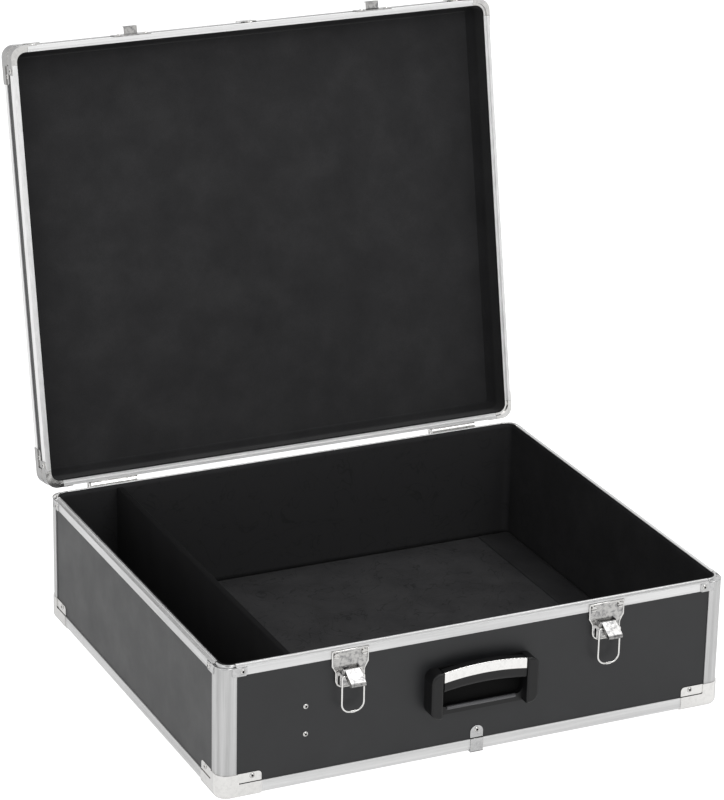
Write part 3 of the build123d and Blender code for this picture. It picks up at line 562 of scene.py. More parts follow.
@dataclass
class FeltSheet:
    """A flat sheet of felt, glued down between rounded walls and slightly crumpled.

    Its crumples are some spacing apart and fade out towards its edges.
    """

    name: str
    node: str
    body: str
    half_x: float
    half_y: float
    level: float
    faces_up: bool
    rests_on: str
    crumple: float = 0.0009
    cell: float = 0.0042
    corner: float = 0.009
    thickness: float = 0.0009
    seed: float = 0.0
    middle: float = 0.0
    spacing: float = 0.085
    fade: float = 0.02

    def crease(self, x: float, y: float) -> float:
        """Height of the crumples at one place, as a share of the highest.

        Args:
            x: Place across.
            y: Place in depth.

        Returns:
            A number from 0 to 1.
        """
        p = Vector((x / self.spacing, y / self.spacing, self.seed))
        warp = noise.noise_vector(p * 0.8) * 0.9
        ridge = 1.0 - abs(noise.noise(p + warp)) * 2.0
        fine = 1.0 - abs(noise.noise((p + warp) * 2.3 + Vector((7.0, 3.0, 1.0)))) * 2.0
        swell = 0.5 + 0.5 * noise.noise(p * 0.6 + Vector((2.0, 9.0, 4.0)))
        height = max(0.0, ridge) ** 5 * 0.7 + max(0.0, fine) ** 6 * 0.3
        return height * swell + 0.25 * swell

    def build(self, material: Material) -> None:
        """Builds the sheet.

        Args:
            material: Its felt.
        """
        bm = bmesh.new()
        bmesh.ops.create_grid(
            bm,
            x_segments=round(2 * self.half_x / self.cell),
            y_segments=round(2 * self.half_y / self.cell),
            size=1.0,
        )
        bmesh.ops.scale(bm, vec=(self.half_x, self.half_y, 1.0), verts=bm.verts)
        up = 1.0 if self.faces_up else -1.0
        reach = Vector((self.half_x - self.corner, self.half_y - self.corner))
        for vertex in bm.verts:
            x, y = vertex.co.x, vertex.co.y
            centre = Vector((math.copysign(reach.x, x), math.copysign(reach.y, y)))
            over = Vector((x, y)) - centre
            if over.x * centre.x > 0 and over.y * centre.y > 0 and over.length > self.corner:
                x, y = centre + over.normalized() * self.corner
            edge = min(self.half_x - abs(x), self.half_y - abs(y))
            rise = self.crease(x, y) * self.crumple * min(1.0, edge / self.fade)
            vertex.co = Vector((self.middle + x, y, self.level + up * rise))
        if not self.faces_up:
            bmesh.ops.reverse_faces(bm, faces=bm.faces)
        piece = lay_felt(bm, self.name, material, self.body, self.thickness)
        if self.node:
            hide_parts(self.node)


@dataclass
class FeltBand:
    """A band of felt round the inside of the walls, its ends meeting in a seam.

    Its ripples are some spacing apart. A cove, where it has one, is how far its top leans inwards.
    """

    name: str
    node: str
    body: str
    inset: float
    corner: float
    low: float
    high: float
    rests_on: str
    ripple: float = 0.00035
    thickness: float = 0.0008
    cell: float = 0.006
    seed: float = 0.0
    cove: float = 0.0
    spacing: float = 0.05

    def perimeter(self) -> float:
        """Length of the band."""
        straight = 2 * (CASE_WIDTH + CASE_DEPTH) - 8 * self.inset - 8 * self.corner
        return straight + 2 * math.pi * self.corner

    def around(self, run: float) -> tuple[Vector, Vector]:
        """Finds a place along the band.

        Args:
            run: Distance along the band from the middle of its rear.

        Returns:
            The place, and the direction inwards from it.
        """
        half_x = CASE_WIDTH / 2 - self.inset - self.corner
        half_y = CASE_DEPTH / 2 - self.inset - self.corner
        arc = math.pi / 2 * self.corner
        legs = [
            (half_x, Vector((0.0, 1.0))),
            (2 * half_y, Vector((1.0, 0.0))),
            (2 * half_x, Vector((0.0, -1.0))),
            (2 * half_y, Vector((-1.0, 0.0))),
            (half_x, Vector((0.0, 1.0))),
        ]
        start = Vector((0.0, half_y + self.corner))
        for length, out in legs[:-1]:
            ahead = Vector((out.y, -out.x))
            if run <= length:
                return start + ahead * run, -out
            run -= length
            start = start + ahead * length
            pivot = start - out * self.corner
            if run <= arc:
                angle = run / self.corner
                turned = out * math.cos(angle) + ahead * math.sin(angle)
                return pivot + turned * self.corner, -turned
            run -= arc
            start = pivot + ahead * self.corner
        length, out = legs[-1]
        return start + Vector((out.y, -out.x)) * min(run, length), -out

    def build(self, material: Material) -> None:
        """Builds the band.

        Args:
            material: Its felt.
        """
        bm = bmesh.new()
        total = self.perimeter()
        bmesh.ops.create_grid(
            bm,
            x_segments=round(total / self.cell) * 2,
            y_segments=max(4, round((self.high - self.low) / self.cell)),
            size=0.5,
        )
        for vertex in bm.verts:
            run = (vertex.co.x + 0.5) * total
            height = self.low + (vertex.co.y + 0.5) * (self.high - self.low)
            spot, inward = self.around(run)
            p = Vector((spot.x, spot.y, height)) / self.spacing + Vector((0.0, 0.0, self.seed))
            bulge = self.ripple * (0.5 + 0.5 * noise.noise(p) + 0.4 * noise.noise(p * 2.7))
            lean = max(0.0, height - self.high + COVE_RISE * self.cove) / COVE_RISE
            spot = spot + inward * (max(0.0, bulge) + lean)
            vertex.co = Vector((spot.x, spot.y, height))
        bmesh.ops.remove_doubles(bm, verts=bm.verts, dist=0.01 * MM)
        bmesh.ops.recalc_face_normals(bm, faces=bm.faces)
        first = next(iter(bm.faces))
        if first.normal.xy.dot(first.calc_center_median().xy) > 0:
            bmesh.ops.reverse_faces(bm, faces=bm.faces)
        piece = lay_felt(bm, self.name, material, self.body, self.thickness)
        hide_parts(self.node)
        height = self.high - self.low + COVE_EXTRA * self.cove


@dataclass
class FeltedDivider:
    """The divider, a board wrapped in felt, whose faces dip by a fraction of a millimetre."""

    name: str = "divider_felt"
    wrap: float = 0.0012
    cell: float = 0.006
    spacing: float = 0.06
    dip: float = 0.00022
    fine_dip: float = 0.0001

    def build(self, material: Material) -> None:
        """Builds the divider over its CAD node.

        Args:
            material: Its felt.
        """
        low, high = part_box("divider")
        size = high - low
        bm = bmesh.new()
        bmesh.ops.create_cube(bm, size=1.0)
        bmesh.ops.scale(bm, vec=size, verts=bm.verts)
        bmesh.ops.translate(bm, vec=(low + high) / 2, verts=bm.verts)
        round_edges(bm, bm.edges[:], self.wrap, 4)
        for axis, length in ((1, size.y), (2, size.z)):
            edges = [
                e
                for e in bm.edges
                if abs(abs((e.verts[1].co - e.verts[0].co)[axis]) - length) < 3 * self.wrap
            ]
            bmesh.ops.subdivide_edges(bm, edges=edges, cuts=round(length / self.cell))
        for vertex in bm.verts:
            p = vertex.co / self.spacing
            wave = self.dip * noise.noise(p) + self.fine_dip * noise.noise(p * 3.1)
            side = 1.0 if vertex.co.x > (low.x + high.x) / 2 else -1.0
            vertex.co.x -= side * abs(wave)
        piece = finish_piece(bm, self.name, material, "base")
        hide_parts("divider")


@dataclass
class PopRivets:
    """The pop rivets of one body, each head with the hollow that its pin broke off in."""

    node: str
    body: str
    head_area: tuple[float, float] = (9.5e-6, 12.5e-6)
    height: float = 0.0012
    hollow: float = 0.00125
    steps: int = 20

    def heads(self) -> list[tuple[Vector, Vector]]:
        """Finds the flat tops of the rivet heads in the CAD node.

        Returns:
            The middle and the outward direction of each.
        """
        bm = bmesh.new()
        bm.from_mesh(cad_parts[self.node].data)
        bmesh.ops.remove_doubles(bm, verts=bm.verts, dist=0.001 * MM)
        bm.normal_update()
        found = []
        seen: set[int] = set()
        for face in bm.faces:
            if face.index in seen:
                continue
            flat, queue = [], [face]
            seen.add(face.index)
            while queue:
                here = queue.pop()
                flat.append(here)
                for edge in here.edges:
                    for other in edge.link_faces:
                        if other.index not in seen and other.normal.dot(face.normal) > 0.9999:
                            seen.add(other.index)
                            queue.append(other)
            area = sum(f.calc_area() for f in flat)
            if self.head_area[0] < area < self.head_area[1]:
                moment = sum((f.calc_center_median() * f.calc_area() for f in flat), Vector())
                found.append((moment / area, face.normal.copy()))
        bm.free()
        return found

    def profile(self) -> list[Vector]:
        """Draws half the section of a head.

        Returns:
            Its corners, from the rim to the middle of the broken pin.
        """
        rim = ((2.90, 0.00), (2.90, 0.22), (2.75, 0.42), (2.35, 0.78), (1.90, 1.06), (1.60, 1.19))
        hollow = ((1.38, 1.20), (1.22, 1.08), (1.16, 0.30), (0.78, 0.24))
        pin = ((0.74, 0.52), (0.40, 0.62), (0.00, 0.58))
        return [Vector((r * MM, 0.0, z * MM)) for r, z in rim + hollow + pin]

    def build(self, steel: Material, dark: Material) -> None:
        """Builds the heads in place of the CAD node.

        Args:
            steel: Finish of the heads.
            dark: Finish of the hollows, matt black: painted shade in them.
        """
        bm = bmesh.new()
        heads = self.heads()
        for middle, outward in heads:
            one = bmesh.new()
            ring = [one.verts.new(point) for point in self.profile()]
            edges = [one.edges.new(pair) for pair in zip(ring, ring[1:])]
            bmesh.ops.spin(
                one,
                geom=ring + edges,
                cent=(0.0, 0.0, 0.0),
                axis=(0.0, 0.0, 1.0),
                angle=math.tau,
                steps=self.steps,
                use_merge=True,
            )
            bmesh.ops.remove_doubles(one, verts=one.verts, dist=0.02 * MM)
            bmesh.ops.recalc_face_normals(one, faces=one.faces)
            # Faces within the hollow take the matt black finish: painted shade in the hollow.
            for face in one.faces:
                face.material_index = int(face.calc_center_median().xy.length < self.hollow)
            turn = outward.to_track_quat("Z", "Y").to_matrix().to_4x4()
            merge(bm, one, Matrix.Translation(middle - outward * self.height) @ turn)
        piece = finish_piece(bm, f"{self.node}_with_pins", steel, self.body)
        piece.data.materials.append(dark)
        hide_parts(self.node)
        log.info("%s: %d heads", self.node, len(heads))


def rounded_plate(
    bm: BMesh, outline: list[Corner], thickness: float, edge: float, place: Matrix
) -> None:
    """Adds a sheet-metal plate with rubbed edges.

    Args:
        bm: The mesh that it is added to.
        outline: Its corners in its own plane.
        thickness: Its thickness, grown along the plane's normal.
        edge: Width of the rubbed edge.
        place: Where its plane lies.
    """
    one = bmesh.new()
    face = one.faces.new([one.verts.new((x, y, 0.0)) for x, y in outline])
    grown = bmesh.ops.extrude_face_region(one, geom=[face])
    top = [v for v in grown["geom"] if isinstance(v, BMVert)]
    bmesh.ops.translate(one, vec=(0.0, 0.0, thickness), verts=top)
    bmesh.ops.recalc_face_normals(one, faces=one.faces)
    raised = [e for e in one.edges if all(v.co.z > thickness / 2 for v in e.verts)]
    round_edges(one, [e for e in raised if len(e.link_faces) == 2], edge, 2)
    merge(bm, one, place)


def rounded_outline(
    half: float, low: float, high: float, low_radius: float, high_radius: float, steps: int = 8
) -> list[Corner]:
    """Corners of an upright plate whose lower and upper corners are rounded.

    Args:
        half: Half its width.
        low: Height of its foot.
        high: Height of its head.
        low_radius: Radius of the two lower corners.
        high_radius: Radius of the two upper corners.
        steps: Runs in each rounded corner.

    Returns:
        Its corners, anticlockwise.
    """
    corners = (
        (half - low_radius, low + low_radius, low_radius, -90.0),
        (half - high_radius, high - high_radius, high_radius, 0.0),
        (-half + high_radius, high - high_radius, high_radius, 90.0),
        (-half + low_radius, low + low_radius, low_radius, 180.0),
    )
    points = []
    for x, y, radius, start in corners:
        count = steps if radius > 0.0 else 0
        for step in range(count + 1):
            angle = math.radians(start + 90.0 * step / max(count, 1))
            points.append((x + radius * math.cos(angle), y + radius * math.sin(angle)))
    return points


def side_plane(side: str, level: float) -> Matrix:
    """Plane on an outer side of the case, its x to the right seen from outside, its y upwards.

    Args:
        side: front, rear, left or right.
        level: Distance out from the rails' faces.

    Returns:
        The plane's place.
    """
    turn = {"front": 0.0, "right": 90.0, "rear": 180.0, "left": 270.0}[side]
    out = (CASE_DEPTH if side in ("front", "rear") else CASE_WIDTH) / 2 + level
    aside = Matrix.Rotation(math.radians(turn), 4, "Z")
    return aside @ Matrix.Translation((0.0, -out, 0.0)) @ STAND


@dataclass
class EdgeClips:
    """Clips hooked round the bottom rails in the middle of the front and of the rear.

    Each has a foot under the rail, a strip on its face and, past a slit, a rounded tab on the wall.
    """

    node: str = "bottom_clips"
    width: float = 0.0142
    sheet: float = 0.0008
    low: float = 0.0002
    step: float = 0.0150
    slit: float = 0.0007
    top: float = 0.0290
    wall: float = 0.001
    foot: float = 0.0125
    foot_radius: float = 0.0015
    rubbed: float = 0.0002

    def build(self, steel: Material) -> None:
        """Builds the clips in place of the CAD node.

        Args:
            steel: Their finish.
        """
        bm = bmesh.new()
        half = self.width / 2
        lower = rounded_outline(half, self.low, self.step, 0.0, 0.0)
        tab = rounded_outline(half, self.step + self.slit, self.top, 0.0, half - self.rubbed, 10)
        foot = rounded_outline(half, -self.foot, self.sheet, self.foot_radius, 0.0)
        for side in ("front", "rear"):
            face = side_plane(side, 0.0)
            under = face @ Matrix.Translation((0.0, self.low + self.sheet, 0.0)) @ STAND
            places = ((lower, face), (tab, side_plane(side, -self.wall)), (foot, under))
            for outline, place in places:
                rounded_plate(bm, outline, self.sheet, self.rubbed, place)
        piece = finish_piece(bm, "bottom_clips_pressed", steel, "base")
        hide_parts(self.node)


@dataclass
class RimBrackets:
    """Corner pieces of the base's rim: a ring that carries the tongue round, and two ears."""

    node: str = "rim_corners"
    mating: float = 0.141
    ear_start: float = 0.0132
    ear_end: float = 0.0290
    ear_low: float = 0.1314
    ear_radius: float = 0.0022
    ear_gap: float = 0.0001
    sheet: float = 0.0008
    rubbed: float = 0.00025
    turn: float = 0.012
    lining_turn: float = 0.010
    tongue_start: float = 0.0033
    arc_steps: int = 14

    def section(self) -> list[Corner]:
        """Draws the section of the ring.

        Returns:
            Its corners: how far in from the rail's face, and how high.
        """
        step = ((0.0, -1.0), (-0.3, -0.8), (-0.3, -0.2), (0.1, 0.0), (3.1, 0.0), (3.4, 0.0))
        tongue = ((3.4, 1.4), (3.6, 1.8), (4.0, 2.0), (5.4, 2.0), (5.8, 1.8), (6.0, 1.4))
        inside = ((6.0, -1.0),)
        return [(depth * MM, self.mating + rise * MM) for depth, rise in step + tongue + inside]

    def lines(self, depth: float) -> list[Vector]:
        """Line round the front left corner at one depth.

        Args:
            depth: How far in from the rails' faces.

        Returns:
            Its places, with the tongue's wider turn on the inner half.
        """
        turn = (self.turn if depth < self.tongue_start else self.lining_turn + FRAME_WIDTH) - depth
        found = [Vector((POST_LEG, depth))]
        for step in range(self.arc_steps + 1):
            angle = math.pi / 2 * step / self.arc_steps
            inward = Vector((math.sin(angle), math.cos(angle)))
            found.append(Vector((depth + turn, depth + turn)) - inward * turn)
        found.append(Vector((depth, POST_LEG)))
        return found

    def build(self, steel: Material) -> None:
        """Builds the four corner pieces in place of the CAD node.

        Args:
            steel: Their finish.
        """
        bm = bmesh.new()
        corner = bmesh.new()
        columns = [
            [corner.verts.new((spot.x, spot.y, height)) for spot in self.lines(depth)]
            for depth, height in self.section()
        ]
        rows = [list(row) for row in zip(*columns)]
        count = len(rows[0])
        for here, there in zip(rows, rows[1:]):
            for index in range(count):
                after = (index + 1) % count
                corner.faces.new((here[index], there[index], there[after], here[after]))
        corner.faces.new(rows[0])
        corner.faces.new(list(reversed(rows[-1])))
        half, head = (self.ear_end - self.ear_start) / 2, self.mating - self.ear_gap
        ear = rounded_outline(half, self.ear_low, head, self.ear_radius, 0.0)
        middle = (self.ear_end + self.ear_start) / 2
        front = Matrix.Translation((middle, 0.0, 0.0)) @ STAND
        aside = Matrix.Rotation(-math.pi / 2, 4, "Z")
        left = Matrix.Translation((0.0, middle, 0.0)) @ aside @ STAND
        for place in (front, left):
            rounded_plate(corner, ear, self.sheet, self.rubbed, place)
        bmesh.ops.recalc_face_normals(corner, faces=corner.faces)
        for across in (-1.0, 1.0):
            for deep in (-1.0, 1.0):
                one = corner.copy()
                if across * deep < 0:
                    bmesh.ops.reverse_faces(one, faces=one.faces)
                shift = Vector((across * CASE_WIDTH / 2, deep * CASE_DEPTH / 2, 0.0))
                mirror = Matrix.Diagonal((-across, -deep, 1.0, 1.0))
                merge(bm, one, Matrix.Translation(shift) @ mirror)
        corner.free()
        piece = finish_piece(bm, "rim_corners_pressed", steel, "base")
        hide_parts(self.node)


@dataclass
class HandleDish:
    """Inside of the handle's dish: a dull black plate over its floor, painted shade in the recess,
    and a glossy rounded lip whose grey, lighter than the black plastic, is a painted highlight.
    """

    half_width: float = 0.0463
    low: float = 0.0600
    high: float = 0.1018
    low_radius: float = 0.0075
    high_radius: float = 0.001
    floor: float = 0.0004
    rubbed: float = 0.0002
    back: float = 0.0013
    lip_out: float = 0.0086
    lip_radius: float = 0.0020
    lip_half: float = 0.0385
    lip_rise: float = 0.0006
    lip_end: float = 0.0009

    def build(self, matt: Material, gloss: Material) -> None:
        """Builds the dish's floor and lip.

        Args:
            matt: Finish of the plate over the floor, dull black: painted shade.
            gloss: Finish of the lip, grey: a painted highlight.
        """
        # A dull black plate over the dish's floor: painted shade in the recess.
        floor = bmesh.new()
        low = self.low + self.rubbed
        radii = (self.low_radius, self.high_radius)
        outline = rounded_outline(self.half_width, low, self.high, *radii)
        rounded_plate(floor, outline, self.floor, self.rubbed, side_plane("front", self.back))
        finish_piece(floor, "handle_dish_painted_shade", matt, "base")
        # The lip's grey plastic, lighter than the black moulding, is a painted highlight along it.
        lip = bmesh.new()
        bmesh.ops.create_cone(
            lip,
            cap_ends=True,
            segments=32,
            radius1=self.lip_radius,
            radius2=self.lip_radius,
            depth=2 * self.lip_half,
            matrix=side_plane("front", self.lip_out - self.lip_radius)
            @ Matrix.Translation((0.0, self.low - self.lip_radius + self.lip_rise, 0.0))
            @ Matrix.Rotation(math.pi / 2, 4, "Y"),
        )
        ends = [e for e in lip.edges if abs(e.calc_length() - 2 * self.lip_half) > MM]
        round_edges(lip, ends, self.lip_end, 3)
        finish_piece(lip, "handle_dish_lip", gloss, "base")


def bead(bm: BMesh, line: list[Corner], radius: float, place: Matrix, sides: int = 12) -> None:
    """Adds a round bead along a closed line.

    Args:
        bm: The mesh that it is added to.
        line: The line, in its own plane.
        radius: The bead's radius.
        place: Where the plane lies.
        sides: Sides of the bead.
    """
    rows = []
    count = len(line)
    for index in range(count):
        here = Vector(line[index])
        ahead = (Vector(line[(index + 1) % count]) - Vector(line[index - 1])).normalized()
        across = Vector((ahead.y, -ahead.x))
        row = []
        for side in range(sides):
            angle = math.tau * side / sides
            spot = here + across * radius * math.cos(angle)
            row.append(bm.verts.new(place @ Vector((spot.x, spot.y, radius * math.sin(angle)))))
        rows.append(row)
    faces = []
    for row, after in zip(rows, rows[1:] + rows[:1]):
        for side in range(sides):
            turned = (side + 1) % sides
            faces.append(bm.faces.new((row[side], after[side], after[turned], row[turned])))
    bmesh.ops.recalc_face_normals(bm, faces=faces)


@dataclass
class LatchBeads:
    """Rolled bead round the edge of each latch plate, with small chamfers where the plate bends."""

    along: float = 0.142
    half_width: float = 0.020
    half_waist: float = 0.016
    top: float = 0.1404
    shoulder: float = 0.124
    waist: float = 0.118
    bottom: float = 0.100
    low_radius: float = 0.009
    inset: float = 0.0008
    radius: float = 0.0008
    level: float = 0.0010
    chamfer: float = 0.001
    bend: float = 0.0004
    arc_steps: int = 10

    def line(self) -> list[Corner]:
        """Draws the plate's outline, a bead's radius inside its edge.

        Returns:
            Its corners, anticlockwise from the middle of its foot.
        """
        wide, waist = self.half_width - self.inset, self.half_waist - self.inset
        low, radius = self.bottom + self.inset, self.low_radius - self.inset
        top = self.top - self.inset
        right = [(waist - radius, low)]
        for step in range(1, self.arc_steps + 1):
            angle = math.pi / 2 * step / self.arc_steps
            x = waist - radius + radius * math.sin(angle)
            right.append((x, low + radius - radius * math.cos(angle)))
        right += [
            (waist, self.waist - self.chamfer),
            (waist + self.bend, self.waist),
            (wide - self.bend, self.shoulder),
            (wide, self.shoulder + self.chamfer),
            (wide, top - self.chamfer),
            (wide - self.chamfer, top),
        ]
        return right + [(-x, y) for x, y in reversed(right)]

    def build(self, steel: Material) -> None:
        """Builds the bead of each latch.

        Args:
            steel: Their finish.
        """
        for name, along in (("left", -self.along), ("right", self.along)):
            bm = bmesh.new()
            place = side_plane("front", self.level) @ Matrix.Translation((along, 0.0, 0.0))
            bead(bm, self.line(), self.radius, place)
            finish_piece(bm, f"latch_bead_{name}", steel, "base")


class Finishes:
    """Every finish of the case, and the CAD nodes that wear it."""

    def __init__(self) -> None:
        """Builds the materials."""
        metal, plate, felt = SatinAnodisedAluminium, PressedNickelPlate, ShortPileFelt
        self.across = metal(Run.ACROSS).build()
        # The deep rails and the posts get darker copies of the aluminium and the lid's frame a paler
        # one: painted reflection, for how each run mirrors the room.
        self.deep = metal(Run.DEEP, "#D8D8D8", "#BCBCBC").build()
        self.upright = metal(Run.UPRIGHT, "#D0D0D0", "#ACACAC").build()
        self.lid_frame = metal(Run.LID_FRAME, "#F5F5F5", "#E0E0E0", 0.46).build()
        self.nickel = plate().build()
        self.rivet = plate("rivet_steel", "#D2D1CF", "#C0BFBD", 0.18, 0.1).build()
        self.zinc = plate("zinc_plated_steel", "#C6C6C6", "#B0B0B1", 0.2, 0.3).build()
        self.bright = plate("polished_strip", "#F0EFED", "#E8E7E5", 0.12, 0.0).build()
        # The latch plates' dark clouds are painted reflection of the dark surroundings mirrored in
        # them.
        self.painted_reflection_plate = plate("nickel_plate_painted_reflection", "#BDBCBA", "#737376", 0.16, 0.5).build()
        # The levers get a darker plate, more strongly mottled than the others.
        self.lever = plate("dark_mottled_nickel_plate", "#A3A2A1", "#5E5E60", 0.2, 0.6).build()
        # The deep-drawn caps start their painted reflection of the dark room at a smaller turn than
        # the other plates.
        drawn = ("deep_drawn_nickel_plate", "#DAD9D7", "#C6C5C4", 0.1, 0.4, "#5A5A5C", 0.5)
        self.drawn = plate(*drawn).build()
        self.board = PlasticLaminate().build()
        self.felt = felt().build()
        # The floor's and the walls' felt are painted darker along thin creases: painted shade.
        self.floor_felt = felt("short_pile_felt_floor", "#272728", creased=0.45).build()
        self.flap_felt = felt("short_pile_felt_flap", "#202021", "#262627", "#2D2D2E").build()
        walls = ("short_pile_felt_walls", "#1A1A1B", "#202021", "#272728")
        # The rear walls, facing the front, get a paler felt: painted light.
        inwards = (0.0, -1.0, 0.0)
        self.wall_felt = felt(*walls, creased=0.25, nap=inwards, napped="#303031").build()
        # The lid's walls get a darker copy of the felt: painted shade, with more sheen at grazing
        # angles.
        lid_walls = ("short_pile_felt_lid_walls_painted_shade", "#1B1B1C", "#212122", "#282829", 0.09)
        self.lid_wall_felt = felt(*lid_walls).build()
        # The divider's upward faces get a darker felt: painted shade on its top.
        divider = ("short_pile_felt_divider", "#111112", "#161617", "#1B1B1C")
        self.divider_felt = felt(*divider, nap=(0.0, 0.0, 1.0), napped="#0A0A0B").build()
        self.moulding = GrainedMoulding().build()
        # The lip's plastic is grey, lighter than the black moulding: a painted highlight.
        self.gloss = GrainedMoulding("polished_moulding_painted_highlight", "#5C5C5E", "#48484A", 0.16).build()
        self.paint = MattPaint().build()

    def of_node(self, node: str) -> Material:
        """Chooses the finish of a CAD node.

        Args:
            node: The node's name.

        Returns:
            Its material.
        """
        on_lid = node.startswith("lid")
        sideways = self.across if node.endswith(("front", "rear")) else self.deep
        wears = (
            (node.startswith("corner_post"), self.upright),
            (on_lid and ("rail" in node or "post" in node), self.lid_frame),
            ("rail" in node, sideways),
            ("lining" in node or node == "divider", self.felt),
            ("panel" in node or node == "bottom_board", self.board),
            (node in ("handle_frame", "handle_grip"), self.moulding),
            (node == "handle_band", self.bright),
            (node == "divider_angles", self.paint),
            ("rivets" in node or "screws" in node, self.rivet),
            ("latch_plate" in node or "keeper" in node, self.painted_reflection_plate),
            (node.startswith("latch_lever"), self.lever),
            (node in ("lid_corner_caps", "lid_rim_corners"), self.drawn),
        )
        return next((material for fits, material in wears if fits), self.nickel)

    def dress(self) -> None:
        """Gives every CAD node its finish."""
        for name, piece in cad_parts.items():
            material = self.of_node(name)
            piece.data.materials.clear()
            piece.data.materials.append(material)
            log.info("%s: %s", name, material.name)


@dataclass
class Studio:
    """Pale floor, soft studio light and the camera."""

    focal_pixels: float = 3433.1
    principal: tuple[float, float] = (322.9, 435.9)
    azimuth: float = 24.554
    elevation: float = 21.882
    roll: float = 0.831
    place: tuple[float, float, float] = (-1.4264, -2.9774, 1.5783)
    image: tuple[int, int] = (724, 800)
    sensor: float = 36.0
    floor_radius: float = 9.0
    lit_middle: tuple[float, float, float] = (0.0, 0.0, 0.2)

    def build_camera(self) -> None:
        """Places the camera where the photograph was taken from."""
        width, height = self.image
        data = bpy.data.cameras.new("camera")
        data.sensor_width = self.sensor
        data.lens = self.focal_pixels / max(width, height) * data.sensor_width
        data.shift_x = (width / 2 - self.principal[0]) / max(width, height)
        data.shift_y = (self.principal[1] - height / 2) / max(width, height)
        data.clip_start, data.clip_end = 0.1, 60.0
        azimuth, elevation, roll = map(math.radians, (self.azimuth, self.elevation, self.roll))
        ahead = Vector(
            (
                math.sin(azimuth) * math.cos(elevation),
                math.cos(azimuth) * math.cos(elevation),
                -math.sin(elevation),
            )
        )
        level = Vector((math.cos(azimuth), -math.sin(azimuth), 0.0))
        upward = level.cross(ahead)
        right = level * math.cos(roll) + upward * math.sin(roll)
        top = upward * math.cos(roll) - level * math.sin(roll)
        turn = Matrix((right, top, -ahead)).transposed().to_4x4()
        camera = bpy.data.objects.new("camera", data)
        camera.matrix_world = Matrix.Translation(self.place) @ turn
        bpy.context.scene.collection.objects.link(camera)
        bpy.context.scene.camera = camera

    def build_floor(self) -> None:
        """Lays a wide white floor, brighter to the camera than it shines on the case."""
        paper = {
            "Base Color": linear("#999999"),
            "Roughness": 0.9,
            "Specular IOR Level": 0.1,
            "Emission Color": linear("#FFFFFF"),
        }
        rows = [
            ("seen", "LightPath", "Is Camera Ray", {}, {}),
            ("glow", "MapRange", "Result", {"To Min": 0.68, "To Max": 0.95}, {"Value": "seen"}),
        ]
        material = surface("white_studio_paper", paper, rows, {"Emission Strength": "glow"})
        bm = bmesh.new()
        bmesh.ops.create_circle(bm, cap_ends=True, segments=64, radius=self.floor_radius)
        mesh = bpy.data.meshes.new("floor")
        bm.to_mesh(mesh)
        bm.free()
        mesh.materials.append(material)
        floor = bpy.data.objects.new("floor", mesh)
        bpy.context.scene.collection.objects.link(floor)

    def build_world(self) -> None:
        """Surrounds the case with a white room that is dark behind the camera, for the chrome."""
        world = bpy.data.worlds.new("studio")
        bpy.context.scene.world = world
        world.use_nodes = True
        tree = world.node_tree
        tree.nodes.clear()
        behind = {"From Min": -0.35, "From Max": -0.6, "To Min": 0.0, "To Max": 1.0}
        band = [(0.12, "#000000"), (0.2, "#FFFFFF"), (0.42, "#FFFFFF"), (0.55, "#000000")]
        walls = {"data_type": "RGBA", 6: linear("#FAFAFA"), 7: linear("#5E5E5E")}
        white = {"data_type": "RGBA", 7: linear("#FFFFFF")}
        rows = [
            ("direction", "TexCoord", "Generated", {}, {}),
            ("y", "SeparateXYZ", "Y", {}, {"Vector": "direction"}),
            ("z", "SeparateXYZ", "Z", {}, {"Vector": "direction"}),
            ("behind", "MapRange", "Result", behind, {"Value": "y"}),
            ("band", "ValToRGB", "Color", {}, {"Fac": "z"}, band),
            ("dark", "Math", "Value", {"operation": "MULTIPLY"}, {0: "behind", 1: "band"}),
            ("room", "Mix", 2, walls, {"Factor": "dark"}),
            ("seen", "LightPath", "Is Camera Ray", {}, {}),
            ("colour", "Mix", 2, white, {"Factor": "seen", 6: "room"}),
            ("light", "Background", "Background", {"Strength": 1.0}, {"Color": "colour"}),
        ]
        add_node(tree, "OutputWorld", links={"Surface": weave(tree, rows)["light"]})

    def add_lamps(self) -> None:
        """Adds the soft boxes, each aimed at the middle of the case."""
        aim = Vector(self.lit_middle)
        # Name, place in metres, width in metres and power in watts.
        lamps = (
            ("overhead", Vector((1.1, 0.4, 2.9)), 1.4, 22.0),
            ("left", Vector((-3.0, -1.6, 1.9)), 1.8, 12.0),
            ("front", Vector((0.4, -2.9, 2.3)), 1.6, 19.0),
        )
        for name, place, width, power in lamps:
            data = bpy.data.lights.new(name, "AREA")
            data.shape = "SQUARE"
            data.size = width
            data.energy = power
            lamp = bpy.data.objects.new(name, data)
            turn = (place - aim).to_track_quat("Z", "Y").to_matrix().to_4x4()
            lamp.matrix_world = Matrix.Translation(place) @ turn
            bpy.context.scene.collection.objects.link(lamp)

    def build(self) -> None:
        """Builds the studio."""
        self.build_camera()
        self.build_floor()
        self.build_world()
        self.add_lamps()
        bpy.context.scene.view_settings.view_transform = "Standard"
        log.info("studio ready")


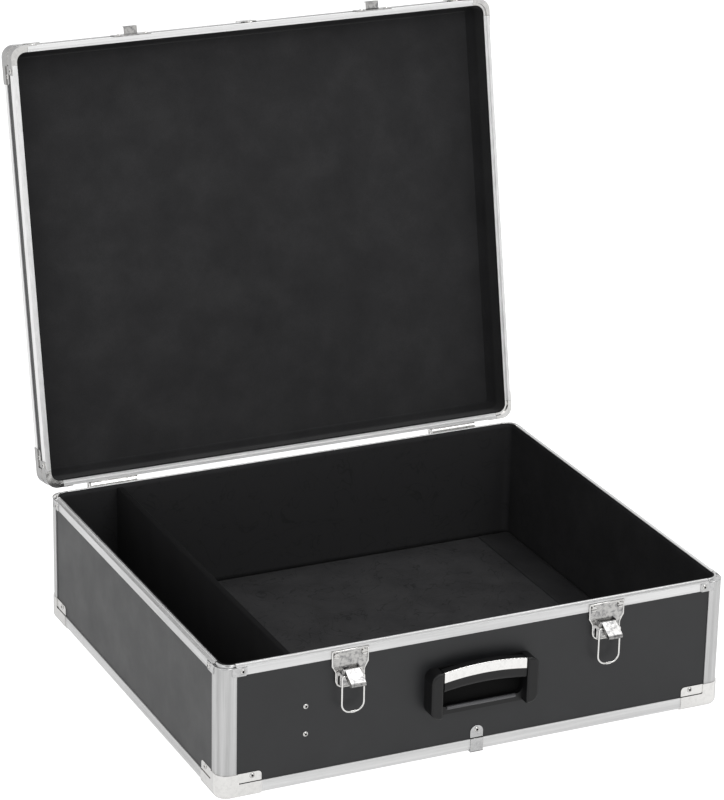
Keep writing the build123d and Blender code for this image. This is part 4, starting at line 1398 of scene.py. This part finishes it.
@dataclass
class Linings:
    """The felt of the base and of the lid.

    The sheets are set a little into the boards, so that their crumples end at the CAD model's felt.
    """

    lining: float = 0.001
    floor_level: float = 0.007
    rim: float = 0.1428
    lid_rim: float = 0.1435
    ceiling: float = 0.173
    corner: float = 0.009
    clearance: float = 0.0002
    floor_sunk: float = 0.0003
    ceiling_sunk: float = 0.0004
    flap: float = 0.038
    flap_rise: float = 0.0009
    flap_short: float = 0.002
    cove: float = 0.0085
    cove_buried: float = 0.0010

    def build(self, finishes: Finishes) -> None:
        """Builds the sheets, the bands and the divider's felt.

        Args:
            finishes: The case's finishes.
        """
        inset = FRAME_WIDTH + self.lining
        half_x = CASE_WIDTH / 2 - inset - self.clearance
        half_y = CASE_DEPTH / 2 - inset - self.clearance
        floor, ceiling = self.floor_level + self.lining, self.ceiling - self.lining
        board, panel = "bottom_board", "lid_top_panel"
        size = (half_x, half_y)
        low, high = floor - self.floor_sunk, ceiling + self.ceiling_sunk
        sheet = FeltSheet("floor_felt", "floor_lining", "base", *size, low, True, board, seed=3.0)
        sheet.build(finishes.floor_felt)
        half, deep, level = self.flap / 2, half_y - self.flap_short, floor + self.flap_rise
        shape = {"crumple": 0.0003, "corner": 0.004, "seed": 9.0, "middle": half_x - half}
        sheet = FeltSheet("floor_felt_flap", "", "base", half, deep, level, True, board, **shape)
        sheet.build(finishes.flap_felt)
        place = ("wall_felt", "wall_lining", "base", inset, self.corner, self.floor_level, self.rim)
        FeltBand(*place, board, seed=5.0).build(finishes.wall_felt)
        place = ("lid_felt", "lid_lining", "lid", *size, high, False, panel)
        FeltSheet(*place, crumple=0.0007, seed=11.0).build(finishes.felt)
        place = ("lid_wall_felt", "lid_lining", "lid", inset, self.corner, self.lid_rim)
        shape = {"cell": 0.003, "seed": 8.0, "cove": self.cove}
        band = FeltBand(*place, ceiling + self.cove_buried, panel, **shape)
        band.build(finishes.lid_wall_felt)
        FeltedDivider().build(finishes.divider_felt)


def main() -> None:
    """Dresses the CAD nodes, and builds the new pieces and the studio."""
    logging.basicConfig(level=logging.INFO, format="%(message)s")
    Studio().build()
    finishes = Finishes()
    finishes.dress()
    Linings().build(finishes)
    PopRivets("base_rivets", "base").build(finishes.rivet, finishes.paint)
    PopRivets("lid_rivets", "lid").build(finishes.rivet, finishes.paint)
    EdgeClips().build(finishes.zinc)
    RimBrackets().build(finishes.zinc)
    HandleDish().build(finishes.paint, finishes.gloss)
    LatchBeads().build(finishes.nickel)


if __name__ == "__main__":
    main()
